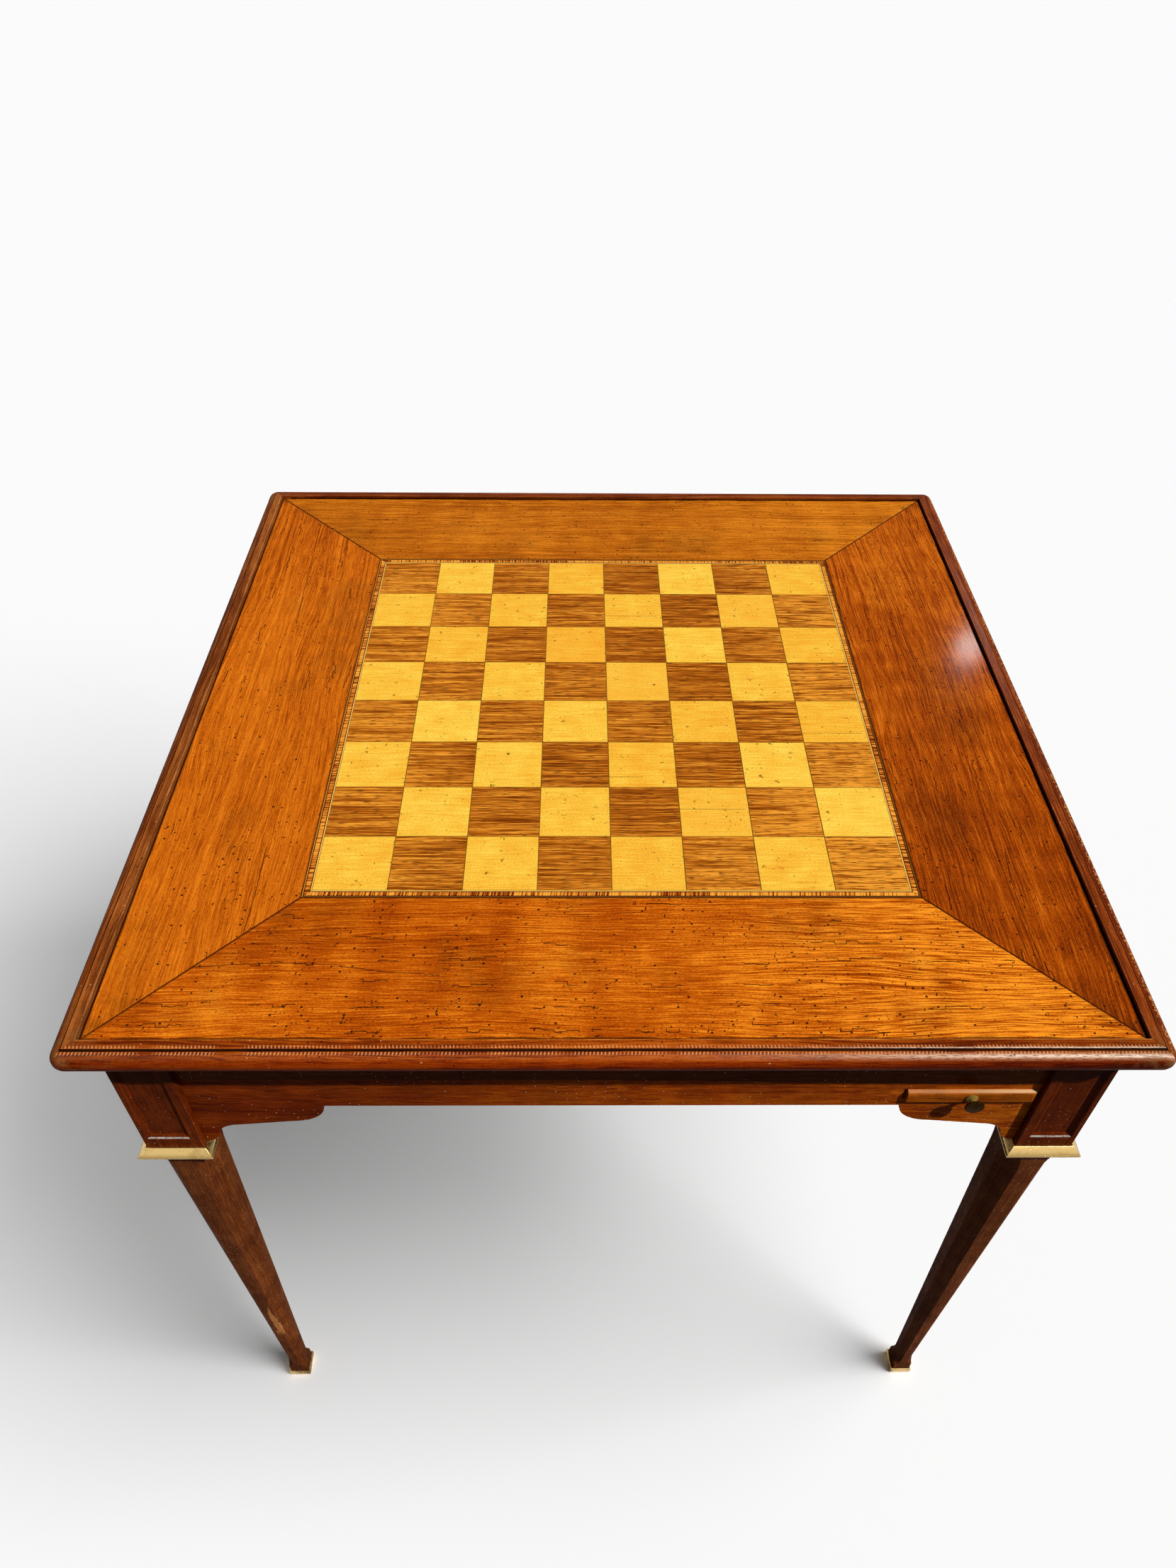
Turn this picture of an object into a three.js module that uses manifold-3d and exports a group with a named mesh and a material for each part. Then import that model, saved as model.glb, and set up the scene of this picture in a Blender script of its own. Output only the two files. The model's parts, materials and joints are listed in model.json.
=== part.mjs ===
// A square games table for tric trac and chess, in millimetres, with +Z up.
// The origin is on the floor under the middle of the table, and the front is towards -Y.
// The chess top lifts off the rim and uncovers the tric trac well. Two candle slides pull out
// of the aprons, one at each player's right hand.

import * as THREE from 'three';
import { mergeVertices } from 'three/addons/utils/BufferGeometryUtils.js';
import Module from 'manifold-3d';

const wasm = await Module();
wasm.setup();

// Sides and corners in the order of quarter turns, counterclockwise as seen from above
const sideNames = ['front', 'right', 'back', 'left'];
const cornerNames = ['front_right', 'back_right', 'back_left', 'front_left'];
const slideSides = ['front', 'back'];

// Chess top
const squaresPerSide = 8;
const squareSize = 63;
const bandWidth = 8;
const borderWidth = 139.3;
const topThickness = 12;
const veneerThickness = 1.4;
const baizeThickness = 1;
const topArris = 1.2;
const tongueThickness = 4;
const tongueLength = 7;
const jointWidth = 0.5;
const jointDepth = 0.5;
const crossJointShare = 0.8;

// Rim that holds the top
const tableHeight = 760;
const topPlay = 1.7;
const rimLip = 3;
const rimFlat = 8.2;
const quirkWidth = 1.2;
const quirkDepth = 2.1;
const noseDrop = 1.4;
const noseRadius = 9.3;
const quirkCornerRadius = 2.7;
const rimFilletHeight = 3;
const flangeThickness = 8;

// Legs, with the square head that the aprons join
const rimOverhang = 23.5;
const headSize = 49.6;
const headHeight = 146.6;
const arrisChamfer = 1;
const panelDepth = 3.5;
const panelBevel = 4;
const panelInnerStile = 8.6;
const panelOuterStile = 5;
const panelRail = 13;
const collarHeight = 8.6;
const collarProjection = 7.2;
const neckHeight = 1.4;
const upperStopHeight = 34;
const chamferShare = 0.3;
const ankleSize = 20.8;
const lowerStopHeight = 13;
const plinthSize = 21.8;
const plinthHeight = 24;
const sabotSize = 24.8;
const sabotHeight = 11.5;
const sabotFloor = 2.5;

// Aprons
const apronSetback = 6;
const apronThickness = 22;
const apronDepth = 90;
const bracketReach = 109;
const lobeStep = 2;
const lobeWidth = 27.5;
const lobeDrop = 22;
const bracketSlope = 6;
const coveWidth = 19.5;
const coveDrop = 16;
const toeWidth = 13.5;
const tenonLength = 20;
const tenonThickness = 8;
const tenonShoulder = 12;

// Tric trac well
const wellDepth = 65;
const liningThickness = 11.5;
const wellFloorThickness = 8;
const fieldThickness = 2;
const barWidth = 24;
const troughWidth = 39;
const partitionThickness = 8;
const partitionHeight = 42;
const pointsPerHalf = 6;
const pointLength = 245;
const softArris = 2;

// Candle slides and what carries them
const slideWidth = 105.6;
const slideHeight = 14;
const slideLength = 240;
const slideProud = 4;
const slideNose = 3.5;
const slideHeadroom = 0.6;
const slideEndMargin = 2.2;
const slotMargin = 2.5;
const guideWidth = 15;
const cradleThickness = 8;
const slideStopThickness = 7;
const knobHeadRadius = 8;
const knobReach = 10;
const knobStemRadius = 2;
const knobStemLength = 12;

// Clearances and cutting allowance
const contactGap = 0.2;
const mitreGap = 0.3;
const sideClearance = 0.3;
const cutOverrun = 5;

// Steps in rounded forms
const noseSteps = 9;
const cornerSteps = 6;
const stopSteps = 6;
const curveSteps = 6;
const knobSteps = 24;
const stemSteps = 16;

// Outlines as shares of the size that they follow
// Collar: share of its projection, share of its height, from the top edge down
const collarShares = [
  [0.12, 1], [0.4, 0.8], [0.66, 0.55], [0.78, 0.42],
  [0.8, 0.36], [1, 0.2], [0.96, 0.05], [0.8, 0],
];
// Sabot: share of its half width, share of its height, from the floor up
const sabotShares = [
  [0.93, 0], [0.96, 0.09], [0.965, 0.45], [1, 0.52], [1, 0.64],
  [0.955, 0.7], [0.955, 0.76], [0.985, 0.82], [0.985, 0.93], [0.955, 1],
];
// Knob: share of the head's radius, share of the reach, from the slide outwards
const knobShares = [
  [0.62, 0], [0.62, 0.08], [0.5, 0.15], [0.37, 0.22], [0.34, 0.42], [0.42, 0.56],
  [0.78, 0.65], [0.97, 0.72], [1, 0.8], [0.96, 0.9], [0.8, 0.95], [0.4, 0.985], [0, 1],
];

// Places worked out from the sizes above, measured from the middle line or from the floor
const boardHalf = squaresPerSide * squareSize / 2;
const bandOuter = boardHalf + bandWidth;
const topHalf = bandOuter + borderWidth;
const rimInner = topHalf + topPlay;
const noseCentre = rimInner + rimFlat + quirkWidth;
const rimOuter = noseCentre + noseRadius;
const headFace = rimOuter - rimOverhang;
const legCentre = headFace - headSize / 2;
const headInner = headFace - headSize;
const apronOuter = headFace - apronSetback;
const apronInner = apronOuter - apronThickness;
const liningOuter = headInner - contactGap;
const wellHalf = liningOuter - liningThickness;

const rimTop = tableHeight + rimLip;
const topUnder = tableHeight - topThickness;
const headTop = topUnder - flangeThickness;
const collarTop = headTop - headHeight;
const chamferStart = collarTop - collarHeight - neckHeight;
const wellFloorTop = topUnder - wellDepth;
const wellFloorUnder = wellFloorTop - wellFloorThickness;
const slideTop = wellFloorUnder - slideHeadroom;
const slideUnder = slideTop - slideHeight;
const carrierTop = slideUnder - sideClearance;

const slideRight = headInner - slideEndMargin;
const slideLeft = slideRight - slideWidth;
const slideFront = apronOuter + slideProud;
const slideBack = slideFront - slideLength;
const ledgerInner = slideRight + sideClearance;
const guideLeft = slideLeft - sideClearance - guideWidth;

const woodField = new THREE.MeshStandardMaterial({ color: 0xb9631c, roughness: 0.32, metalness: 0 });
const woodRim = new THREE.MeshStandardMaterial({ color: 0x8a3a14, roughness: 0.28, metalness: 0 });
const woodApron = new THREE.MeshStandardMaterial({ color: 0x8f4012, roughness: 0.4, metalness: 0 });
const woodLeg = new THREE.MeshStandardMaterial({ color: 0x6b2f10, roughness: 0.4, metalness: 0 });
const woodChess = new THREE.MeshStandardMaterial({ color: 0xc79a3c, roughness: 0.35, metalness: 0 });
const woodBand = new THREE.MeshStandardMaterial({ color: 0xb5733a, roughness: 0.35, metalness: 0 });
const woodInside = new THREE.MeshStandardMaterial({ color: 0x7a4a24, roughness: 0.5, metalness: 0 });
const woodHidden = new THREE.MeshStandardMaterial({ color: 0x9c7443, roughness: 0.75, metalness: 0 });
const agedBrass = new THREE.MeshStandardMaterial({ color: 0xb89a54, roughness: 0.35, metalness: 1 });
const greenBaize = new THREE.MeshStandardMaterial({ color: 0x2f5a3a, roughness: 0.95, metalness: 0 });

// Keeps only positions and merges shared corners, with the faces turned outwards.
// What comes from a cut or a join is closed already.
function closedForm(geometry) {
  if (geometry.userData.closed) return geometry;
  const plain = new THREE.BufferGeometry();
  plain.setAttribute('position', geometry.getAttribute('position'));
  plain.setIndex(geometry.getIndex());
  const merged = mergeVertices(plain);
  const place = merged.getAttribute('position');
  const index = Array.from(merged.getIndex().array);
  const kept = [];
  let volume = 0;
  const corners = [new THREE.Vector3(), new THREE.Vector3(), new THREE.Vector3()];
  for (let i = 0; i < index.length; i += 3) {
    const [a, b, c] = index.slice(i, i + 3);
    if (a === b || b === c || c === a) continue;
    kept.push(a, b, c);
    [a, b, c].forEach((vertex, k) => corners[k].fromBufferAttribute(place, vertex));
    volume += corners[0].dot(corners[1].clone().cross(corners[2]));
  }
  if (volume < 0) kept.reverse();
  merged.setIndex(kept);
  return merged;
}

function solidOf(geometry) {
  const form = closedForm(geometry);
  return new wasm.Manifold(new wasm.Mesh({
    numProp: 3,
    vertProperties: new Float32Array(form.getAttribute('position').array),
    triVerts: new Uint32Array(form.getIndex().array),
  }));
}

function geometryOf(solid) {
  const mesh = solid.getMesh();
  const geometry = new THREE.BufferGeometry();
  geometry.setAttribute('position', new THREE.BufferAttribute(mesh.vertProperties, mesh.numProp));
  geometry.setIndex(new THREE.BufferAttribute(mesh.triVerts, 1));
  geometry.userData.closed = true;
  return geometry;
}

function cut(geometry, cutters) {
  const rest = cutters.reduce((solid, cutter) => solid.subtract(solidOf(cutter)), solidOf(geometry));
  return geometryOf(rest);
}

function join(geometries) {
  const first = solidOf(geometries[0]);
  return geometryOf(geometries.slice(1).reduce((solid, next) => solid.add(solidOf(next)), first));
}

function block([left, right], [front, back], [bottom, top]) {
  const geometry = new THREE.BoxGeometry(right - left, back - front, top - bottom);
  return geometry.translate((left + right) / 2, (front + back) / 2, (bottom + top) / 2);
}

// A closed skin over rings of corners. The outline gives a ring's shape in two dimensions,
// from which the end faces are made.
function loft(rings, outline) {
  const count = outline.length;
  const positions = rings.flat().flatMap((corner) => [corner.x, corner.y, corner.z]);
  const index = [];
  for (let ring = 0; ring + 1 < rings.length; ring += 1) {
    for (let i = 0; i < count; i += 1) {
      const next = (i + 1) % count;
      const here = ring * count;
      const there = here + count;
      index.push(here + i, here + next, there + next);
      index.push(here + i, there + next, there + i);
    }
  }
  const last = (rings.length - 1) * count;
  for (const [a, b, c] of THREE.ShapeUtils.triangulateShape(outline, [])) {
    index.push(c, b, a);
    index.push(last + a, last + b, last + c);
  }
  const geometry = new THREE.BufferGeometry();
  geometry.setAttribute('position', new THREE.Float32BufferAttribute(positions, 3));
  geometry.setIndex(index);
  return geometry;
}

// A straight rail along the front side whose ends are mitred. Its section is given as distances
// from the middle of the table and heights, anticlockwise.
function mitredRail(section) {
  const outline = section.map(([distance, height]) => new THREE.Vector2(distance, height));
  const trim = mitreGap / Math.SQRT2;
  const ring = (side) => outline.map(({ x, y }) => new THREE.Vector3(side * (x - trim), -x, y));
  return loft([ring(-1), ring(1)], outline);
}

// A square ring or cap with mitred corners, from a section of half widths and heights.
function squareTurning(section) {
  const points = section.map(([half, height]) => new THREE.Vector2(half * Math.SQRT2, height));
  return new THREE.LatheGeometry(points, sideNames.length)
    .rotateX(Math.PI / 2)
    .rotateZ(Math.PI / sideNames.length);
}

// Corners of a square with cut corners, anticlockwise.
function chamferedSquare(half, chamfer) {
  const flat = half - chamfer;
  return [
    [half, -flat], [half, flat], [flat, half], [-flat, half],
    [-half, flat], [-half, -flat], [-flat, -half], [flat, -half],
  ].map(([x, y]) => new THREE.Vector2(x, y));
}

// Corners of a square with rounded corners, anticlockwise.
function roundedSquare(half, radius) {
  const middle = new THREE.Vector2(0, 0);
  return cornerNames.flatMap((corner, turn) => {
    const arc = [];
    for (let step = 0; step <= cornerSteps; step += 1) {
      const angle = (step / cornerSteps - 1) * Math.PI / 2;
      const x = half - radius + radius * Math.cos(angle);
      const y = radius - half + radius * Math.sin(angle);
      arc.push(new THREE.Vector2(x, y).rotateAround(middle, turn * Math.PI / 2));
    }
    return arc;
  });
}

// Leg: square head, chamfers that run out in hollow stops at the neck and at the plinth.
function legSections() {
  const headHalf = headSize / 2;
  const ankleHalf = ankleSize / 2;
  const plinthHalf = plinthSize / 2;
  const ankleTop = plinthHeight + lowerStopHeight;
  const sections = [[sabotFloor, plinthHalf, arrisChamfer]];
  for (let step = 0; step <= stopSteps; step += 1) {
    const turn = step / stopSteps * Math.PI / 2;
    const rise = lowerStopHeight * (1 - Math.cos(turn));
    const half = plinthHalf + (ankleHalf - plinthHalf) * rise / lowerStopHeight;
    const chamfer = arrisChamfer + (chamferShare * ankleSize - arrisChamfer) * Math.sin(turn);
    sections.push([plinthHeight + rise, half, chamfer]);
  }
  const taper = (headHalf - ankleHalf) / (chamferStart - ankleTop);
  for (let step = stopSteps; step >= 0; step -= 1) {
    const turn = step / stopSteps * Math.PI / 2;
    const height = chamferStart - upperStopHeight * (1 - Math.cos(turn));
    const half = ankleHalf + taper * (height - ankleTop);
    const chamfer = arrisChamfer + (2 * chamferShare * half - arrisChamfer) * Math.sin(turn);
    sections.push([height, half, chamfer]);
  }
  sections.push([headTop, headHalf, arrisChamfer]);
  return sections;
}

// Mirrors a point of the front right leg across the diagonal: its front becomes its right side.
function acrossDiagonal({ x, y, z }) {
  return new THREE.Vector3(-y, -x, z);
}

// Sunk panel in the front of a leg's head, with bevelled sides.
function sunkPanel(toSide) {
  const headHalf = headSize / 2;
  const growth = cutOverrun * panelBevel / panelDepth;
  const ringAt = (depth, inset) => {
    const left = -headHalf + panelInnerStile + inset;
    const right = headHalf - panelOuterStile - inset;
    const bottom = collarTop + panelRail + inset;
    const top = headTop - panelRail - inset;
    return [[left, bottom], [right, bottom], [right, top], [left, top]]
      .map(([x, z]) => new THREE.Vector3(x, depth - headHalf, z));
  };
  const rings = [ringAt(-cutOverrun, -growth), ringAt(panelDepth, panelBevel)];
  const outline = rings[0].map(({ x, z }) => new THREE.Vector2(x, z));
  return loft(rings.map((ring) => (toSide ? ring.map(acrossDiagonal) : ring)), outline);
}

const tenonTop = headTop - tenonShoulder;
const tenonUnder = collarTop + tenonShoulder;
const tenonMiddle = (apronOuter + apronInner) / 2;

function legGeometry() {
  const rings = legSections().map(([height, half, chamfer]) => chamferedSquare(half, chamfer)
    .map(({ x, y }) => new THREE.Vector3(x, y, height)));
  const headHalf = headSize / 2;
  const along = [-headHalf - cutOverrun, tenonLength + contactGap - headHalf];
  const middle = legCentre - tenonMiddle;
  const across = [
    middle - tenonThickness / 2 - contactGap,
    middle + tenonThickness / 2 + contactGap,
  ];
  const upright = [tenonUnder - contactGap, tenonTop + contactGap];
  const turned = ([low, high]) => [-high, -low];
  return cut(loft(rings, chamferedSquare(headHalf, arrisChamfer)), [
    block(along, across, upright),
    block(turned(across), turned(along), upright),
    sunkPanel(false),
    sunkPanel(true),
  ]);
}

function collarGeometry() {
  const inner = headSize / 2 + contactGap;
  const under = collarTop - collarHeight;
  const outer = collarShares.map(([out, up]) => [
    inner + out * collarProjection,
    under + up * collarHeight,
  ]);
  return squareTurning([[inner, collarTop], ...outer, [inner, under], [inner, collarTop]]);
}

function sabotGeometry() {
  const inner = plinthSize / 2 + contactGap;
  const outer = sabotShares.map(([out, up]) => [out * sabotSize / 2, up * sabotHeight]);
  const socket = [[inner, sabotHeight], [inner, sabotFloor], [0, sabotFloor]];
  return squareTurning([[0, 0], ...outer, ...socket]);
}

// Apron with its shaped lower edge, a tenon at each end and, where a slide runs, a slot.
function apronGeometry(hasSlide) {
  const end = headInner - contactGap;
  const under = headTop - apronDepth;
  const toe = collarTop + contactGap;
  const bracket = headInner - bracketReach;
  const lobeTop = under - lobeStep;
  const lobeUnder = lobeTop - lobeDrop;
  const toeStart = end - contactGap - toeWidth;
  const coveStart = toeStart - coveWidth;
  const coveTop = lobeUnder - bracketSlope;
  const coveUnder = coveTop - coveDrop;
  const toeEnd = toeStart + toeWidth;
  const toeDrop = coveUnder - toe;
  const lowest = 3 / 2 * Math.PI;
  const halfEdge = new THREE.Path();
  halfEdge.moveTo(0, under);
  halfEdge.lineTo(bracket, under);
  halfEdge.lineTo(bracket, lobeTop);
  halfEdge.absellipse(bracket + lobeWidth, lobeTop, lobeWidth, lobeDrop, Math.PI, lowest, false);
  halfEdge.lineTo(coveStart, coveTop);
  halfEdge.absellipse(coveStart, coveUnder, coveWidth, coveDrop, Math.PI / 2, 0, true);
  halfEdge.absellipse(toeEnd, coveUnder, toeWidth, toeDrop, Math.PI, lowest, false);
  halfEdge.lineTo(end, toe);
  const right = halfEdge.getPoints(curveSteps).slice(1);
  const left = right.map(({ x, y }) => new THREE.Vector2(-x, y)).reverse();
  const outline = new THREE.Shape([
    ...left, ...right, new THREE.Vector2(end, headTop), new THREE.Vector2(-end, headTop),
  ]);
  const board = new THREE.ExtrudeGeometry(outline, { depth: apronThickness, bevelEnabled: false })
    .rotateX(Math.PI / 2)
    .translate(0, -apronInner, 0);
  const tenon = (side) => {
    const reach = [end - tenonShoulder, headInner + tenonLength];
    return block(
      side < 0 ? reach.map((x) => -x).reverse() : reach,
      [-tenonMiddle - tenonThickness / 2, -tenonMiddle + tenonThickness / 2],
      [tenonUnder, tenonTop],
    );
  };
  const body = join([board, tenon(-1), tenon(1)]);
  if (!hasSlide) return body;
  const slot = block(
    [slideLeft - slotMargin, slideRight + sideClearance],
    [-apronOuter - cutOverrun, -apronInner + cutOverrun],
    [carrierTop, slideTop + slideHeadroom / 2],
  );
  return cut(body, [slot]);
}

// A cap over the whole rim whose round nose runs round the corners, a little larger than the rim
// along the sides. What of a mitred rail lies inside it has a rounded corner in plan.
function rimEnvelope(nose) {
  const skin = [
    [noseCentre, headTop - cutOverrun], ...nose, [noseCentre, rimTop + cutOverrun],
  ];
  const rings = skin.map(([half, height]) => {
    const radius = quirkCornerRadius + half - noseCentre;
    const corners = roundedSquare(half + contactGap / 2, radius);
    return corners.map(({ x, y }) => new THREE.Vector3(x, y, height));
  });
  return loft(rings, roundedSquare(noseCentre, quirkCornerRadius));
}

// Rim rail: a flange that carries the top, a flat lip, a quirk and a round nose.
function rimGeometry() {
  const noseMiddle = rimTop - noseDrop - noseRadius;
  const nose = [];
  for (let step = 0; step <= noseSteps; step += 1) {
    const turn = (step / noseSteps - 1 / 2) * Math.PI;
    nose.push([noseCentre + noseRadius * Math.cos(turn), noseMiddle + noseRadius * Math.sin(turn)]);
  }
  const flat = rimInner + rimFlat;
  const noseUnder = noseMiddle - noseRadius;
  const rail = mitredRail([
    [wellHalf, headTop], [rimInner, headTop], [rimInner, headTop + rimFilletHeight],
    [flat, noseUnder], ...nose,
    [flat, rimTop - quirkDepth], [flat, rimTop], [rimInner, rimTop],
    [rimInner, topUnder], [wellHalf, topUnder],
  ]);
  return geometryOf(solidOf(rail).intersect(solidOf(rimEnvelope(nose))));
}

function liningGeometry() {
  return mitredRail([
    [wellHalf, wellFloorTop], [liningOuter, wellFloorTop],
    [liningOuter, headTop], [wellHalf, headTop],
  ]);
}

function ledgerGeometry(hasSlide) {
  const reach = ledgerInner - contactGap;
  return block(
    [-reach, hasSlide ? guideLeft - contactGap : reach],
    [-apronInner + contactGap, -ledgerInner],
    [carrierTop, wellFloorUnder],
  );
}

function wellFloorGeometry() {
  const wide = apronInner - contactGap;
  const notch = headInner - contactGap;
  const quarter = [[wide, -notch], [wide, notch], [notch, notch]];
  const middle = new THREE.Vector2(0, 0);
  const corners = sideNames.flatMap((side, turn) => quarter.map(([x, y]) => (
    new THREE.Vector2(x, y).rotateAround(middle, turn * Math.PI / 2)
  )));
  const outline = new THREE.Shape(corners);
  return new THREE.ExtrudeGeometry(outline, { depth: wellFloorThickness, bevelEnabled: false })
    .translate(0, 0, wellFloorUnder);
}

// A divider from front to back of the well with eased upper arrises.
function dividerGeometry(thickness, height) {
  const half = thickness / 2;
  const length = 2 * (wellHalf - contactGap);
  const outline = new THREE.Shape([
    [-half, 0], [half, 0], [half, height - softArris], [half - softArris, height],
    [softArris - half, height], [-half, height - softArris],
  ].map(([x, y]) => new THREE.Vector2(x, y)));
  return new THREE.ExtrudeGeometry(outline, { depth: length, bevelEnabled: false })
    .rotateX(Math.PI / 2)
    .translate(0, length / 2, wellFloorTop);
}

const fieldLeft = barWidth / 2 + contactGap;
const partitionOuter = wellHalf - troughWidth;
const fieldRight = partitionOuter - partitionThickness - contactGap;

// The fine joint round an inlaid point that stands on the far edge, cut deeper at every other
// point, so that the cuts cross cleanly at the edge.
function pointJoint(centre, pitch, reach, surface, depth) {
  const slope = pitch / 2 / pointLength;
  const tip = reach - pointLength;
  const beyond = reach + cutOverrun;
  const spread = slope * (pointLength + cutOverrun);
  const half = jointWidth / 2;
  const outline = new THREE.Shape([
    [-spread - half, beyond], [0, tip - half / slope], [spread + half, beyond],
    [spread - half, beyond], [0, tip + half / slope], [half - spread, beyond],
  ].map(([x, y]) => new THREE.Vector2(x, y)));
  return new THREE.ExtrudeGeometry(outline, { depth: depth + cutOverrun, bevelEnabled: false })
    .translate(centre, 0, surface - depth);
}

// One half of the playing field: a veneered panel with inlaid points from both ends.
function fieldGeometry() {
  const reach = wellHalf - contactGap;
  const surface = wellFloorTop + fieldThickness;
  const panel = block([fieldLeft, fieldRight], [-reach, reach], [wellFloorTop, surface]);
  const pitch = (fieldRight - fieldLeft) / pointsPerHalf;
  const joints = [];
  for (let point = 0; point < pointsPerHalf; point += 1) {
    const depth = point % 2 === 0 ? jointDepth : crossJointShare * jointDepth;
    const place = fieldLeft + pitch * (point + 1 / 2);
    joints.push(pointJoint(place, pitch, reach, surface, depth));
    joints.push(pointJoint(-place, pitch, reach, surface, depth).rotateZ(Math.PI));
  }
  return cut(panel, joints);
}

// Chessboard veneer with a fine joint between the squares.
function chessGeometry() {
  const under = tableHeight - veneerThickness;
  const veneer = block([-boardHalf, boardHalf], [-boardHalf, boardHalf], [under, tableHeight]);
  const joints = [];
  for (let line = 1; line < squaresPerSide; line += 1) {
    const place = line * squareSize - boardHalf;
    const narrow = [place - jointWidth / 2, place + jointWidth / 2];
    const long = [-boardHalf - cutOverrun, boardHalf + cutOverrun];
    const deep = [tableHeight - jointDepth, tableHeight + cutOverrun];
    const shallow = [tableHeight - crossJointShare * jointDepth, tableHeight + cutOverrun];
    joints.push(block(narrow, long, deep), block(long, narrow, shallow));
  }
  return cut(veneer, joints);
}

const bandInner = boardHalf + contactGap / 2;
const grooveOuter = bandOuter + tongueLength + contactGap;
const tongueUnder = topUnder + (topThickness - tongueThickness) / 2;
const tongueTop = tongueUnder + tongueThickness;

function bandGeometry() {
  const under = tableHeight - veneerThickness;
  return mitredRail([
    [bandInner, under], [bandOuter, under], [bandOuter, tableHeight], [bandInner, tableHeight],
  ]);
}

// Border board with a groove along its inner edge for the core's tongue.
function borderGeometry() {
  const inner = bandOuter + contactGap;
  return mitredRail([
    [inner, topUnder], [topHalf, topUnder],
    [topHalf, tableHeight - topArris], [topHalf - topArris, tableHeight], [inner, tableHeight],
    [inner, tongueTop + contactGap], [grooveOuter, tongueTop + contactGap],
    [grooveOuter, tongueUnder - contactGap], [inner, tongueUnder - contactGap],
  ]);
}

function coreGeometry() {
  const wide = bandOuter + tongueLength;
  const upper = tableHeight - veneerThickness;
  const lower = topUnder + baizeThickness;
  return squareTurning([
    [0, lower], [bandOuter, lower], [bandOuter, tongueUnder], [wide, tongueUnder],
    [wide, tongueTop], [bandOuter, tongueTop], [bandOuter, upper], [0, upper],
  ]);
}

const slideMiddle = (slideLeft + slideRight) / 2;
const slideMiddleHeight = (slideTop + slideUnder) / 2;

// Candle slide: a board whose front arris is rounded above and at its outer end.
function slideGeometry() {
  const noseCentreDepth = slideNose - slideFront;
  const side = new THREE.Shape();
  side.moveTo(-slideBack, slideUnder);
  side.lineTo(-slideBack, slideTop);
  side.lineTo(noseCentreDepth, slideTop);
  side.absarc(noseCentreDepth, slideTop - slideNose, slideNose, Math.PI / 2, Math.PI, false);
  side.lineTo(-slideFront, slideUnder);
  const long = new THREE.ExtrudeGeometry(side, {
    depth: slideWidth, bevelEnabled: false, curveSegments: curveSteps,
  }).rotateX(Math.PI / 2).rotateZ(Math.PI / 2).translate(slideLeft, 0, 0);
  const roundStart = slideRight - slideNose;
  const plan = new THREE.Shape();
  plan.moveTo(slideLeft - cutOverrun, cutOverrun - slideBack);
  plan.lineTo(slideLeft - cutOverrun, -slideFront - cutOverrun);
  plan.lineTo(roundStart - cutOverrun, -slideFront - cutOverrun);
  plan.lineTo(roundStart - cutOverrun, -slideFront);
  plan.absarc(roundStart, noseCentreDepth, slideNose, -Math.PI / 2, 0, false);
  plan.lineTo(slideRight, cutOverrun - slideBack);
  const flat = new THREE.ExtrudeGeometry(plan, {
    depth: slideHeight + 2 * cutOverrun, bevelEnabled: false, curveSegments: curveSteps,
  }).translate(0, 0, slideUnder - cutOverrun);
  const board = geometryOf(solidOf(long).intersect(solidOf(flat)));
  const holeRadius = knobStemRadius + sideClearance;
  const holeDepth = knobStemLength + sideClearance;
  const holeMiddle = (holeDepth - cutOverrun) / 2 - slideFront;
  const hole = new THREE.CylinderGeometry(holeRadius, holeRadius, holeDepth + cutOverrun, stemSteps)
    .translate(slideMiddle, holeMiddle, slideMiddleHeight);
  return cut(board, [hole]);
}

function knobGeometry() {
  const end = -knobStemLength;
  const stem = [[0, end], [knobStemRadius, end], [knobStemRadius, contactGap]];
  const head = knobShares.map(([out, along]) => [
    out * knobHeadRadius,
    contactGap + along * knobReach,
  ]);
  const points = [...stem, ...head].map(([x, y]) => new THREE.Vector2(x, y));
  return new THREE.LatheGeometry(points, knobSteps)
    .rotateX(Math.PI)
    .translate(slideMiddle, -slideFront, slideMiddleHeight);
}

// Cradle under a slide: a bearer board, a guide strip on its inner side and a stop behind.
function cradleGeometry() {
  const front = -headInner + contactGap;
  const stopFront = -slideBack + sideClearance;
  const back = stopFront + slideStopThickness;
  const under = carrierTop - cradleThickness;
  const upright = [under, wellFloorUnder];
  const bearer = block([guideLeft, apronInner - contactGap], [front, back], [under, carrierTop]);
  const guide = block([guideLeft, guideLeft + guideWidth], [front, back], upright);
  const stop = block([guideLeft, ledgerInner - contactGap], [stopFront, back], upright);
  return join([bearer, guide, stop]);
}

const table = new THREE.Group();

function addPart(parent, name, geometry, material, place = [0, 0, 0]) {
  const form = closedForm(geometry);
  form.computeVertexNormals();
  const mesh = new THREE.Mesh(form, material);
  mesh.name = name;
  mesh.position.set(...place);
  parent.add(mesh);
}

// Each side is modelled at the front and turned round the middle of the table.
sideNames.forEach((side, turn) => {
  const group = new THREE.Group();
  group.rotation.z = turn * Math.PI / 2;
  const hasSlide = slideSides.includes(side);
  addPart(group, `apron_${side}`, apronGeometry(hasSlide), woodApron);
  addPart(group, `rim_${side}`, rimGeometry(), woodRim);
  addPart(group, `lining_${side}`, liningGeometry(), woodInside);
  addPart(group, `ledger_${side}`, ledgerGeometry(hasSlide), woodHidden);
  addPart(group, `top_border_${side}`, borderGeometry(), woodField);
  addPart(group, `top_band_${side}`, bandGeometry(), woodBand);
  if (hasSlide) {
    addPart(group, `slide_${side}`, slideGeometry(), woodApron);
    addPart(group, `knob_${side}`, knobGeometry(), agedBrass);
    addPart(group, `slide_cradle_${side}`, cradleGeometry(), woodHidden);
  }
  table.add(group);
});

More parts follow.
